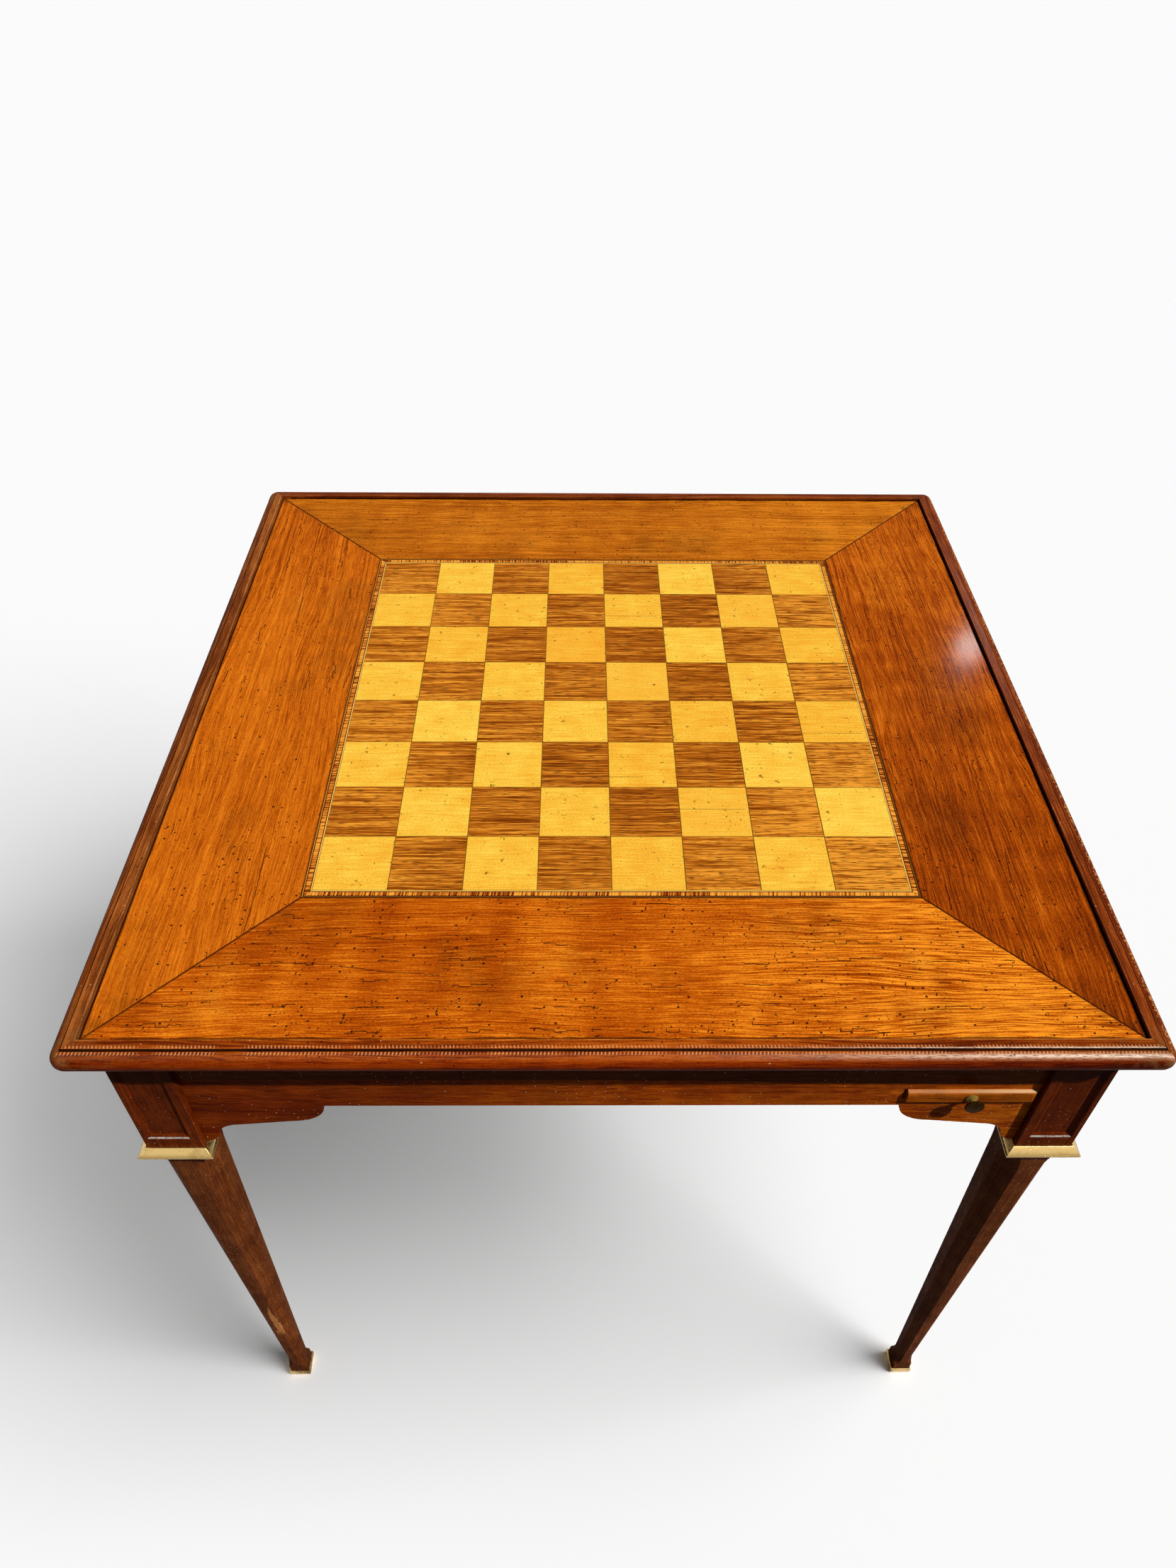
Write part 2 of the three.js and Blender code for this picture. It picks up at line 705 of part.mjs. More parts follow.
// Each corner is modelled at the front right and turned likewise.
cornerNames.forEach((corner, turn) => {
  const group = new THREE.Group();
  group.rotation.z = turn * Math.PI / 2;
  const place = [legCentre, -legCentre, 0];
  addPart(group, `leg_${corner}`, legGeometry(), woodLeg, place);
  addPart(group, `collar_${corner}`, collarGeometry(), agedBrass, place);
  addPart(group, `sabot_${corner}`, sabotGeometry(), agedBrass, place);
  table.add(group);
});

addPart(table, 'well_floor', wellFloorGeometry(), woodHidden);
addPart(table, 'well_bar', dividerGeometry(barWidth, headTop - wellFloorTop), woodInside);
const partitionCentre = partitionOuter - partitionThickness / 2;
for (const [name, side] of [['partition_left', -1], ['partition_right', 1]]) {
  const partition = dividerGeometry(partitionThickness, partitionHeight);
  addPart(table, name, partition, woodInside, [side * partitionCentre, 0, 0]);
}

const leftHalf = new THREE.Group();
leftHalf.rotation.z = Math.PI;
addPart(leftHalf, 'field_left', fieldGeometry(), woodBand);
table.add(leftHalf);
addPart(table, 'field_right', fieldGeometry(), woodBand);

addPart(table, 'top_core', coreGeometry(), woodHidden);
addPart(table, 'chessboard', chessGeometry(), woodChess);
const baizeHalf = bandOuter - contactGap;
addPart(
  table,
  'baize',
  block([-baizeHalf, baizeHalf], [-baizeHalf, baizeHalf], [topUnder, topUnder + baizeThickness]),
  greenBaize,
);

export default table;
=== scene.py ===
# %% [markdown]
# # Finishing a tric trac table
# The table is an old square games table in fruitwood. Its loose top carries a chessboard, and under
# it lies a well for tric trac. The construction is fixed already: every board, leg and mount comes
# with its real size and place. What is left to make here is what the eye meets: the woods with
# their grain, stains and dents, the worn brass, the cloth under the top, and a calm studio round
# it.

import json
import math

import bpy
from mathutils import Matrix, Vector

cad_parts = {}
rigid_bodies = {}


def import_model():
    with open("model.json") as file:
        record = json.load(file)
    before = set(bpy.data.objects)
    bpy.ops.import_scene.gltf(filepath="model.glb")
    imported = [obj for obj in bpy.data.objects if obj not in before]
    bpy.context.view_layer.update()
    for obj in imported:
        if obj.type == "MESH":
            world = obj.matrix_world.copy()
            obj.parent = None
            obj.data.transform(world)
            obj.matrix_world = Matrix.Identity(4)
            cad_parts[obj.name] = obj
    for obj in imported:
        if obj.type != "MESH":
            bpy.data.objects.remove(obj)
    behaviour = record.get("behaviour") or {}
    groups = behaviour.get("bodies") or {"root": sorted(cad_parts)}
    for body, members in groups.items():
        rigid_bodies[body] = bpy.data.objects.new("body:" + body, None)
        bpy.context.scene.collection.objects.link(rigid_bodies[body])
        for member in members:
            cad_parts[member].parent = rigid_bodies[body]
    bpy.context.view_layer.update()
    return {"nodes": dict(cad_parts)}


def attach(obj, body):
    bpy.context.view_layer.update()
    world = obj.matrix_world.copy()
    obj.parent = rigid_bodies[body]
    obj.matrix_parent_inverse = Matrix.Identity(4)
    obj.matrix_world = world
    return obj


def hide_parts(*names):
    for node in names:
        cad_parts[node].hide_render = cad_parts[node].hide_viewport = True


for leftover in list(bpy.data.objects):
    bpy.data.objects.remove(leftover)

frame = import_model()
nodes = frame["nodes"]

# %% [markdown]
# ## Sizes that the finish needs
# Inlay, dirt and wear lie in fixed places, so the finish has to know where the joints run. The
# sizes below are those of the construction, in millimetres from the middle of the table, and one
# number turns them into metres.

# %% Sizes of the top, the rim and the well
MM = 0.001
SIDES = ("front", "right", "back", "left")
CORNERS = ("front_right", "back_right", "back_left", "front_left")
GRAIN = {"front": "x", "right": "y", "back": "x", "left": "y"}

SQUARE = 63 * MM
SQUARES_PER_SIDE = 8
BOARD_HALF = SQUARES_PER_SIDE * SQUARE / 2
BAND_WIDTH = 8 * MM
BAND_OUTER = BOARD_HALF + BAND_WIDTH
TOP_HALF = 399.3 * MM
RIM_FLAT_END = 409.2 * MM
QUIRK_END = 410.4 * MM
print("chessboard", 2 * BOARD_HALF, "m, loose top", 2 * TOP_HALF, "m")

# %% [markdown]
# ## Camera
# The photographer stood close to the front edge and looked down at the top by about 45 degrees with
# a wide lens, which is why the near edge looks so much longer than the far one. The eye point was
# worked out from the corners of the chess squares and the upright edges of the legs. A small shift
# puts the picture's middle where it is in the photograph without turning the camera.

# %% Make the camera
PICTURE_WIDTH, PICTURE_HEIGHT = 1659, 2212
FOCAL_PIXELS = 1558.4
AXIS_ACROSS, AXIS_DOWN = 833.3, 1146.2
YAW, PITCH, ROLL = (math.radians(angle) for angle in (0.836, 44.873, 0.652))
EYE = Vector((-27.6, -864.3, 1462.2)) * MM
SENSOR = 36

ahead = Vector((math.sin(YAW) * math.cos(PITCH), math.cos(YAW) * math.cos(PITCH), -math.sin(PITCH)))
level = Vector((math.cos(YAW), -math.sin(YAW), 0))
upright = level.cross(ahead)
right = level * math.cos(ROLL) + upright * math.sin(ROLL)
up = upright * math.cos(ROLL) - level * math.sin(ROLL)

def put_in_scene(name, data):
    """An object that holds this camera, lamp or mesh."""
    made = bpy.data.objects.new(name, data)
    bpy.context.scene.collection.objects.link(made)
    return made

camera = put_in_scene("camera", bpy.data.cameras.new("camera"))
camera.data.sensor_width = SENSOR
camera.data.lens = FOCAL_PIXELS * SENSOR / PICTURE_HEIGHT
camera.data.shift_x = (PICTURE_WIDTH / 2 - AXIS_ACROSS) / PICTURE_HEIGHT
camera.data.shift_y = (AXIS_DOWN - PICTURE_HEIGHT / 2) / PICTURE_HEIGHT
axes = Matrix((right, up, -ahead)).transposed()
camera.matrix_world = Matrix.Translation(EYE) @ axes.to_4x4()
bpy.context.scene.camera = camera
print("lens", round(camera.data.lens, 2), "mm")

# %% [markdown]
# ## A notation for finishes
# A finish is worked out by a net of small nodes, and a net drawn by hand hides the thought behind
# it. Here one small class wraps the output of a node, so that a sum in Python adds the nodes that
# work it out: Math nodes for numbers, and Vector Math nodes for places and colours, which keep
# their three parts apart. Every other node comes from the one method `node`. A colour is written as
# its red, green and blue.

# %% The class that carries a value through a finish
class Wire:
    """One output of a node in the finish that is being made."""

    tree = None

    def __init__(self, socket):
        self.socket = socket

    @classmethod
    def node(cls, kind, settings=None, inputs=None, output=0):
        """Adds a node. Its settings come first, then the values or links of its sockets."""
        made = cls.tree.nodes.new("ShaderNode" + kind)
        settings = dict(settings or {})
        for index, (share, colour) in enumerate(settings.pop("stops", ())):
            ramp = made.color_ramp.elements
            stop = ramp[index] if index < len(ramp) else ramp.new(share)
            stop.position, stop.color = share, (*colour, 1)
        for name, value in settings.items():
            setattr(made, name, value)
        for name, value in (inputs or {}).items():
            cls.plug(made.inputs[name], value)
        return cls(made.outputs[output]) if made.outputs else made

    @classmethod
    def plug(cls, socket, value):
        """Links a wire to a socket, or sets a plain number, place or colour on it."""
        if isinstance(value, Wire):
            cls.tree.links.new(value.socket, socket)
        elif socket.type == "VECTOR" and not cls.has_parts(value):
            socket.default_value = (value,) * 3
        else:
            socket.default_value = (*value, 1) if socket.type == "RGBA" else value

    @staticmethod
    def has_parts(value):
        if isinstance(value, Wire):
            return value.socket.type in ("VECTOR", "RGBA")
        return hasattr(value, "__len__")

    @classmethod
    def reckon(cls, operation, *values):
        """One Math node, or one Vector Math node where a value has three parts."""
        kind = "VectorMath" if any(map(cls.has_parts, values)) else "Math"
        return cls.node(kind, {"operation": operation}, dict(enumerate(values)))

    def __add__(self, other): return self.reckon("ADD", self, other)
    def __radd__(self, other): return self.reckon("ADD", other, self)
    def __sub__(self, other): return self.reckon("SUBTRACT", self, other)
    def __rsub__(self, other): return self.reckon("SUBTRACT", other, self)
    def __mul__(self, other): return self.reckon("MULTIPLY", self, other)
    def __rmul__(self, other): return self.reckon("MULTIPLY", other, self)
    def __truediv__(self, other): return self.reckon("DIVIDE", self, other)
    def __lt__(self, other): return self.reckon("LESS_THAN", self, other)
    def __gt__(self, other): return self.reckon("GREATER_THAN", self, other)
    def __abs__(self): return self.reckon("ABSOLUTE", self)

# %% Words for what the finishes use again and again
def place():
    """Where a point lies in the table, in metres. It goes with a piece that moves."""
    return Wire.node("TexCoord", output="Object")

def parts(value):
    made = Wire.node("SeparateXYZ", inputs={"Vector": value})
    return [Wire(socket) for socket in made.socket.node.outputs]

def joined(x, y, z):
    return Wire.node("CombineXYZ", inputs={"X": x, "Y": y, "Z": z})

def floor(value): return Wire.reckon("FLOOR", value)
def is_odd(value): return 0.5 * value - floor(0.5 * value) > 0.25
def larger(one, other): return Wire.reckon("MAXIMUM", one, other)
def smaller(one, other): return Wire.reckon("MINIMUM", one, other)

def smooth(value, start, end):
    """0 up to start, 1 from end on, and a soft step between. Start may be the larger number."""
    inputs = {"Value": value, "From Min": start, "From Max": end}
    return Wire.node("MapRange", {"interpolation_type": "SMOOTHSTEP"}, inputs)

def noise(where, detail=2, roughness=0.5):
    """Soft random values round a half. One step of where is the size of a patch."""
    inputs = {"Vector": where, "Scale": 1, "Detail": detail, "Roughness": roughness}
    return Wire.node("TexNoise", None, inputs, "Fac")

def lots(where):
    """Three random numbers for each whole-numbered place, as when lots are drawn."""
    return parts(Wire.node("TexWhiteNoise", None, {"Vector": where}, "Color"))

def blend(one, other, share):
    """A colour between two colours."""
    return Wire.node("Mix", {"data_type": "RGBA"}, {0: share, 6: one, 7: other}, 2)

def ramp(value, *stops):
    return Wire.node("ValToRGB", {"stops": stops}, {"Fac": value}, "Color")

def grime_in(where, patch, clean=0.42, dirty=0.66):
    """Where old dirt has settled, in patches of that size."""
    return smooth(noise(where / patch, 3, 0.6), clean, dirty)

# %% Starting and ending a finish
def begin(name, kind=bpy.data.materials):
    """A new, empty material or world, to which the next wires belong."""
    made = kind.new(name)
    made.use_nodes = True
    made.node_tree.nodes.clear()
    Wire.tree = made.node_tree
    return made

def end(material, colour, roughness, height=None, relief=0.2 * MM, **constants):
    """Closes a finish. Height is 1 where the relief stands proud, and 0 in a hollow."""
    inputs = {"Base Color": colour, "Roughness": roughness}
    if height is not None:
        inputs["Normal"] = Wire.node("Bump", None, {"Distance": relief, "Height": height})
    inputs.update({name.replace("_", " "): value for name, value in constants.items()})
    Wire.node("OutputMaterial", None, {"Surface": Wire.node("BsdfPrincipled", None, inputs)})
    print(material.name, len(material.node_tree.nodes), "nodes")
    return material

def dress(finish, *names):
    """Gives the pieces of these names that finish."""
    for name in names:
        nodes[name].data.materials[0] = finish

# Old shellac. Its gloss is very thin, because here a gloss mirrors white from all round.
POLISH = {"IOR": 1.02, "Coat_Roughness": 0.10, "Coat_IOR": 1.5}

# %% [markdown]
# ## Studio
# The photograph shows hard light on the table and a soft shadow on a white floor. The knob's
# shadow on the apron gives the sun's direction: from the right and a little from the front. That
# sun is crisp and lights only the table. Two wide suns from the right light the floor instead, and
# leave the broad grey shade on the left. A weak, low sun behind keeps the table's back from going
# black. Floor and world look nearly white to the eye and in a gloss, but throw little light, as
# the dark undersides ask. A small lamp makes the bright patch on the right board.

# %% Floor and world
def seen_directly():
    """1 for what the eye, a gloss or a glass sees, and 0 for light on its way between things."""
    path = Wire.node("LightPath", output="Is Camera Ray").socket.node.outputs
    seen = larger(Wire(path["Is Camera Ray"]), Wire(path["Is Glossy Ray"]))
    return larger(seen, Wire(path["Is Transmission Ray"]))

FLOOR_HALF = 14
FLOOR_PALE = (0.965, 0.965, 0.965)
FLOOR_BOUNCE = (0.08, 0.078, 0.075)
AMBIENT = 0.09
WHITE = (1, 1, 1)

floor_finish = begin("studio_floor")
pale = Wire.node("BsdfDiffuse", None, {"Color": FLOOR_PALE})
dull = Wire.node("BsdfDiffuse", None, {"Color": FLOOR_BOUNCE})
mixed = Wire.node("MixShader", None, {0: seen_directly(), 1: dull, 2: pale})
Wire.node("OutputMaterial", None, {"Surface": mixed})

floor_mesh = bpy.data.meshes.new("studio_floor")
corners = [(x * FLOOR_HALF, y * FLOOR_HALF, 0) for x, y in ((-1, -1), (1, -1), (1, 1), (-1, 1))]
floor_mesh.from_pydata(corners, [], [(0, 1, 2, 3)])
floor_mesh.materials.append(floor_finish)
studio_floor = put_in_scene("studio_floor", floor_mesh)

bpy.context.scene.world = begin("studio", bpy.data.worlds)
strength = AMBIENT + (1 - AMBIENT) * seen_directly()
background = Wire.node("Background", None, {"Color": WHITE, "Strength": strength})
Wire.node("OutputWorld", None, {"Surface": background})
bpy.context.scene.view_settings.view_transform = "Standard"
print("floor", 2 * FLOOR_HALF, "m wide, ambient light", AMBIENT)

# %% Lamps
SUN_FROM = Vector((0.50, -0.34, 0.80)).normalized()
SUN_LEVEL = 1 - AMBIENT
BACK_FROM = Vector((0, 1, 0.05)).normalized()
BACK_LEVEL = 0.016
KEY_WIDTH, BACK_WIDTH, HIGH_WIDTH, LOW_WIDTH = 1.2, 30, 36, 42
FLOOR_HIGH_FROM = Vector((0.43, -0.07, 1)).normalized()
FLOOR_LOW_FROM = Vector((1.12, -0.31, 1)).normalized()
HIGH_SHARE = 0.41
GLOSS_AT = Vector((388, 92, 760)) * MM
GLOSS_FROM = (GLOSS_AT - EYE).reflect(Vector((0, 0, 1))).normalized()
GLOSS_DISTANCE = 2.5
GLOSS_SIZE, GLOSS_POWER = 0.08, 7

def aim(lamp, towards):
    lamp.rotation_mode = "QUATERNION"
    lamp.rotation_quaternion = Vector(towards).to_track_quat("-Z", "Y")

def sun(name, direction, share, width, floor_state):
    """A far lamp that gives a level white surface that share of white, on the floor or off it."""
    data = bpy.data.lights.new(name, "SUN")
    data.energy = math.pi * share / direction.z
    data.angle = math.radians(width)
    lamp = put_in_scene(name, data)
    aim(lamp, -direction)
    lit_things = bpy.data.collections.new(name + "_lights")
    lit_things.objects.link(studio_floor)
    lit_things.collection_objects[0].light_linking.link_state = floor_state
    lamp.light_linking.receiver_collection = lit_things

sun("key", SUN_FROM, SUN_LEVEL - BACK_LEVEL, KEY_WIDTH, "EXCLUDE")
sun("back", BACK_FROM, BACK_LEVEL, BACK_WIDTH, "EXCLUDE")
sun("floor_high", FLOOR_HIGH_FROM, SUN_LEVEL * HIGH_SHARE, HIGH_WIDTH, "INCLUDE")
sun("floor_low", FLOOR_LOW_FROM, SUN_LEVEL * (1 - HIGH_SHARE), LOW_WIDTH, "INCLUDE")

patch = bpy.data.lights.new("gloss_patch", "AREA")
patch.shape, patch.size, patch.energy = "DISK", GLOSS_SIZE, GLOSS_POWER
patch_lamp = put_in_scene("gloss_patch", patch)
patch_lamp.location = GLOSS_AT + GLOSS_DISTANCE * GLOSS_FROM
patch_lamp.visible_diffuse = False
aim(patch_lamp, -GLOSS_FROM)
print("sun from", tuple(SUN_FROM))

# %% [markdown]
# ## How wood is drawn
# Fruitwood has wide, faint growth bands that sway along the board, fine threads inside them, and
# here and there dark lines and a curl that catches the light. All of them are soft random values,
# stretched along the grain by different amounts. They are worked out from the place in the solid
# board, so the pattern runs on over an edge as in real wood. A ramp from deep lines over the body
# colour to bright figure gives the colours, so that dark lines are also redder and bright ones
# more golden.

# %% Grain
def cut_from(grain, seed):
    """A place in the log that a piece was cut from: along the grain, across and through it."""
    x, y, z = parts(place())
    turned = {"x": (x, y, z), "y": (y, x, z), "z": (z, x, y)}[grain]
    return joined(*turned) + (seed, seed / 3, seed / 7)

def timber(cut, band=5 * MM, bands=0.4, threads=0.5, curl=0.4, lines=0.25):
    """How light the wood is, as a share round a half, and its threads for the relief."""
    sway = noise(cut / (0.25, 0.06, 0.06), 1) - 0.5
    ripple = noise(cut / (0.03, 0.02, 0.02), 1) - 0.5
    bent = cut + joined(0, sway * 0.024 + ripple * 0.0024, 0)
    rings = noise(bent / (0.45, band, 2 * band), 1)
    streaks = noise(bent / (0.10, 1.5 * MM, 3 * MM), 0)
    fine = noise(bent / (0.022, 0.75 * MM, 0.75 * MM), 0)
    dark = smooth(noise(bent / (0.26, 1.3 * MM, 4 * MM) + 5, 0), 0.62, 0.74)
    figure = noise(cut / (0.035, 0.08, 0.08), 2)
    grit = noise(cut / (2.2 * MM, 1.1 * MM, 1.1 * MM), 1)
    light = 0.5 + bands * (rings - 0.5) + curl * (figure - 0.5) + 0.42 * (grit - 0.5)
    light = light + threads * (0.6 * (streaks - 0.5) + 1.3 * (fine - 0.5))
    return light - lines * dark, fine

def wood_ramp(light, colours):
    """Three colours: deep lines, the body of the wood, bright figure."""
    return ramp(light, *zip((0.22, 0.5, 0.78), colours))

# %% [markdown]
# ## How age is drawn
# The top has lived: small dark specks lie in swarms, the old polish has checked in short runs that
# jump sideways in little steps, and smudges of wax and dirt turn patches a greenish brown. A few
# long cracks and glue lines are in places of their own, so they are drawn as lines through points.

# %% Specks, checks and cracks
def specks(flat, spacing, radius, chance):
    """Small marks, one chance for each patch: 1 in a mark. Spacing and radius in millimetres."""
    spacing, radius = spacing * MM, radius * MM
    inputs = {"Vector": flat / spacing, "Scale": 1}
    found = Wire.node("TexVoronoi", {"voronoi_dimensions": "2D"}, inputs, "Distance")
    drawn, size, _ = parts(Wire(found.socket.node.outputs["Color"]))
    reach = radius * (0.4 + 0.6 * size)
    return smooth(found * spacing, reach, 0.5 * reach) * (drawn < chance)

CHECK_FIELD = (75 * MM, 21 * MM)
CHECK_RUN = 9.5 * MM
CHECK_JUMP = 2.2 * MM
CHECK_LINE = 0.38 * MM

def stepped_checks(along, across, chance, seed):
    """Hair checks in old polish: short runs along the grain, joined by small steps sideways."""
    long, wide = CHECK_FIELD
    column, row = floor(along / long), floor(across / wide)
    from_start, from_side = along - column * long, across - row * wide
    step = floor(from_start / CHECK_RUN)
    drawn, middle, reach = lots(joined(column, row, seed))
    here, shown, _ = lots(joined(column, row, step + (seed + 1)))
    before, _, _ = lots(joined(column, row, step + seed))
    centre = (0.3 + 0.4 * middle) * wide
    level = centre + (here - 0.5) * (2 * CHECK_JUMP)
    level_before = centre + (before - 0.5) * (2 * CHECK_JUMP)
    run = (abs(from_side - level) < CHECK_LINE) * (shown > 0.25)
    half_way = 0.5 * (level + level_before)
    riser = abs(from_side - half_way) < 0.5 * abs(level - level_before)
    riser = riser * (from_start - step * CHECK_RUN < 1.6 * CHECK_LINE)
    inside = abs(from_start - long / 2) < (0.12 + 0.26 * reach) * long
    return larger(run, riser) * inside * (drawn < chance)

def crack(x, y, points, width):
    """1 on a fine line through the points, given in millimetres, and 0 away from it."""
    where = joined(x, y, 0)
    nearest = 1
    for start, finish in zip(points, points[1:]):
        begin_at = Vector((*start, 0)) * MM
        run = Vector((*finish, 0)) * MM - begin_at
        offset = where - tuple(begin_at)
        per_length = tuple(run / run.length_squared)
        dot = {"operation": "DOT_PRODUCT"}
        share = Wire.node("VectorMath", dot, {0: offset, 1: per_length}, "Value")
        share = smaller(larger(share, 0), 1)
        away = offset - joined(run.x * share, run.y * share, 0)
        gap = Wire.node("VectorMath", {"operation": "LENGTH"}, {0: away}, "Value")
        nearest = smaller(nearest, gap)
    return smooth(nearest, width, 0.3 * width)

# %% [markdown]
# ## Border boards
# Four wide boards frame the chessboard, mitred at the corners. Their polish has gone a warm orange
# brown, the front one with bright curl and the most marks, because that is where people sat. Each
# side gets its own colours and its own cut of the log, from one function.

# %% Colours and marks of the boards
# Dark brown of dirt, also used for painted shade.
DIRT_AND_SHADE = (0.030, 0.007, 0.001)
SMUDGE = (0.60, 0.70, 1.1)
BORDER_COLOURS = {
    "front": ((0.26, 0.033, 0.001), (0.53, 0.095, 0.002), (0.90, 0.260, 0.011)),
    "right": ((0.17, 0.022, 0.001), (0.40, 0.068, 0.002), (0.70, 0.172, 0.007)),
    "back": ((0.26, 0.046, 0.001), (0.48, 0.120, 0.004), (0.78, 0.245, 0.012)),
    "left": ((0.28, 0.042, 0.001), (0.60, 0.129, 0.004), (0.84, 0.230, 0.010)),
}
CURL = {"front": 0.45, "right": 0.35, "back": 0.30, "left": 0.12}
LINES = {"front": 0.40, "right": 0.35, "back": 0.2, "left": 0.2}
BANDS = {"front": 0.22, "right": 0.28, "back": 0.42, "left": 0.45}
GLOW = {"front": (0, 0.15), "right": (-0.12, 0.07), "back": (0, 0.12), "left": (0.02, -0.04)}
GOLDEN_TONE = (1.14, 1.30, 1.6)
MARKS = {"front": 1.0, "right": 0.7, "back": 0.4, "left": 0.5}
CRACKS = {
    "front": (((-334, -332.5), (-294, -329), (-257, -328), (-221, -330), (-185, -336),
               (-137, -340)),),
    "right": (((371, 371), (372.5, 333.5), (377.6, 300)),
              ((344, -208), (340.2, -240), (339.7, -272), (340.5, -336))),
    "back": (),
    "left": (((-342.5, 344), (-338.6, 224.5), (-334.4, 130)),
             ((-300, -202), (-298.6, -255), (-299.5, -298))),
}
CRACK_WIDTH = 0.45 * MM
STAINS = {
    "front": (((-262, -285), (-228, -280)), ((-125, -325), (-85, -350)),
              ((150, -283), (175, -282))),
    "right": (((350, -40), (345, 60)), ((292, -140), (300, -180))),
    "back": (((60, 290), (110, 296)),),
    "left": (((-279, 60), (-279, 190)),),
}
GLEAMS = {
    "front": (((-52, -275), (-50, -395)), ((112, -340), (122, -392)),
              ((-322, -352), (-296, -362))),
    "right": (((303, 300), (312, 180)),),
    "back": (((-150, 330), (-60, 335)), ((170, 340), (260, 335))),
    "left": (((-352, 180), (-352, -60)),),
}
PATCH_WIDTH = 38 * MM
GLEAM, STAIN = 0.07, 0.03

# %% The boards
def border_wood(side, seed, x, y, along):
    """The colour without its marks, the threads for the relief, and the smudges."""
    flat = joined(x, y, 0)
    to_right = smooth(along, 0, 0.33)
    lines = LINES[side] * (0.35 + 0.65 * to_right)
    threads = 0.44 + 0.5 * to_right * (side == "front")
    light, fine = timber(cut_from(GRAIN[side], seed), 5 * MM, BANDS[side], threads,
                         CURL[side], lines)
    near_glow, far_glow = GLOW[side]
    light = light + near_glow * smooth(along, 0, -0.33) + far_glow * to_right
    for points in GLEAMS[side]:
        light = light + GLEAM * crack(x, y, points, PATCH_WIDTH)
    stain = 0
    for points in STAINS[side]:
        stain = larger(crack(x, y, points, PATCH_WIDTH), stain)
    colour = wood_ramp(light - STAIN * stain, BORDER_COLOURS[side])
    if side == "front":
        colour = blend(colour, colour * GOLDEN_TONE, to_right)
    smudge = grime_in(flat + 0.07 * seed, 0.07, 0.55, 0.68)
    smudge = larger(0.3 * smudge, 0.45 * stain * grime_in(flat, 0.02, 0.3, 0.6))
    return blend(colour, colour * SMUDGE, smudge), fine, smudge

def border_marks(side, seed, x, y, along, across, waver):
    """Specks in swarms, short strokes that slant or lean, checks and cracks."""
    flat = joined(x, y, 0)
    swarm = smooth(noise(flat / 0.06 + 2 * seed, 1), 0.40, 0.62) * MARKS[side]
    slanting = joined(0.30 * along + 0.12 * across, 0.8 * across - 0.3 * along, seed)
    leaning = joined(0.25 * across + 0.12 * along, 0.8 * along - 0.25 * across, seed)
    marks = stepped_checks(along, across + waver, 0.52 * MARKS[side], seed)
    for where, spacing, radius, alone, crowded in (
            (flat, 8, 1.5, 0.06, 0.32), (flat, 3.4, 0.8, 0.01, 0.16),
            (slanting, 4, 0.7, 0.02, 0.16), (leaning, 5, 0.7, 0.02, 0.10)):
        marks = larger(marks, specks(where, spacing, radius, alone + crowded * swarm))
    for points in CRACKS[side]:
        marks = larger(marks, crack(x + waver, y + waver, points, CRACK_WIDTH))
    return marks

def border_finish(side, seed):
    material = begin("border_" + side)
    x, y, _ = parts(place())
    flat = joined(x, y, 0)
    along, across = (x, y) if GRAIN[side] == "x" else (y, x)
    waver = (noise(flat / (5 * MM), 1) - 0.5) * (1.6 * MM)
    colour, fine, smudge = border_wood(side, seed, x, y, along)
    marks = border_marks(side, seed, x, y, along, across, waver)
    mitre = abs(abs(x) - abs(y))
    outermost = larger(abs(x), abs(y))
    grime = smooth(noise(flat / 0.03, 2), 0.35, 0.65)
    seam = smooth(mitre, 1.7 * MM, 0.7 * MM) * 0.85
    corner = smooth(mitre, 26 * MM, 0) * smooth(outermost, 0.34, 0.39) * grime * 0.5
    # Painted shade: the board's edge along the rim is darkened, where the rim's wall shades the
    # gap.
    wavy_edge = outermost + 0.5 * waver + (grime - 0.5) * (1.5 * MM)
    rim_shade = smooth(wavy_edge, TOP_HALF - 2.4 * MM, TOP_HALF - 1 * MM)
    rim_shade = rim_shade * (0.4 if side == "left" else 0.75)
    band_side = smooth(outermost, BAND_OUTER + 1.6 * MM, BAND_OUTER + 0.3 * MM) * 0.5
    soil_and_shade = larger(larger(seam, corner), larger(rim_shade, band_side))
    colour = blend(colour, DIRT_AND_SHADE, larger(0.95 * marks, soil_and_shade))
    roughness = 0.36 + 0.18 * smudge + 0.2 * marks + 0.12 * grime
    height = 0.14 * fine - marks - 0.5 * seam
    return end(material, colour, roughness, height, 0.22 * MM, Coat_Weight=0.02, **POLISH)

for seed, side in enumerate(SIDES, 1):
    dress(border_finish(side, seed), "top_border_" + side)

# %% [markdown]
# ## Crossbanding
# Between the boards and the squares runs an 8 mm band: a fine pale line of boxwood, a dark line, a
# strip of veneer laid with its grain across the band, and a tan line between two dark ones. Cut
# across, the veneer shows its stripes as short bars, and its tone changes where a new piece starts.

# %% The band's lines and bars
BOX_LINE_END = 1.0 * MM
DARK_LINE_END = 1.8 * MM
BARS_END = 5.7 * MM
SECOND_DARK_END = 6.5 * MM
TAN_LINE_END = 7.4 * MM
BOXWOOD = (0.90, 0.52, 0.12)
TAN_LINE = (0.62, 0.22, 0.030)
TAN_SHARE = {"front": 0.3, "right": 0.3, "back": 0.6, "left": 1.0}
BLACK_LINE = (0.040, 0.010, 0.002)
BAND_COLOURS = ((0.17, 0.022, 0.001), (0.68, 0.180, 0.014), (0.93, 0.390, 0.045))
PIECE_LENGTH = 41 * MM

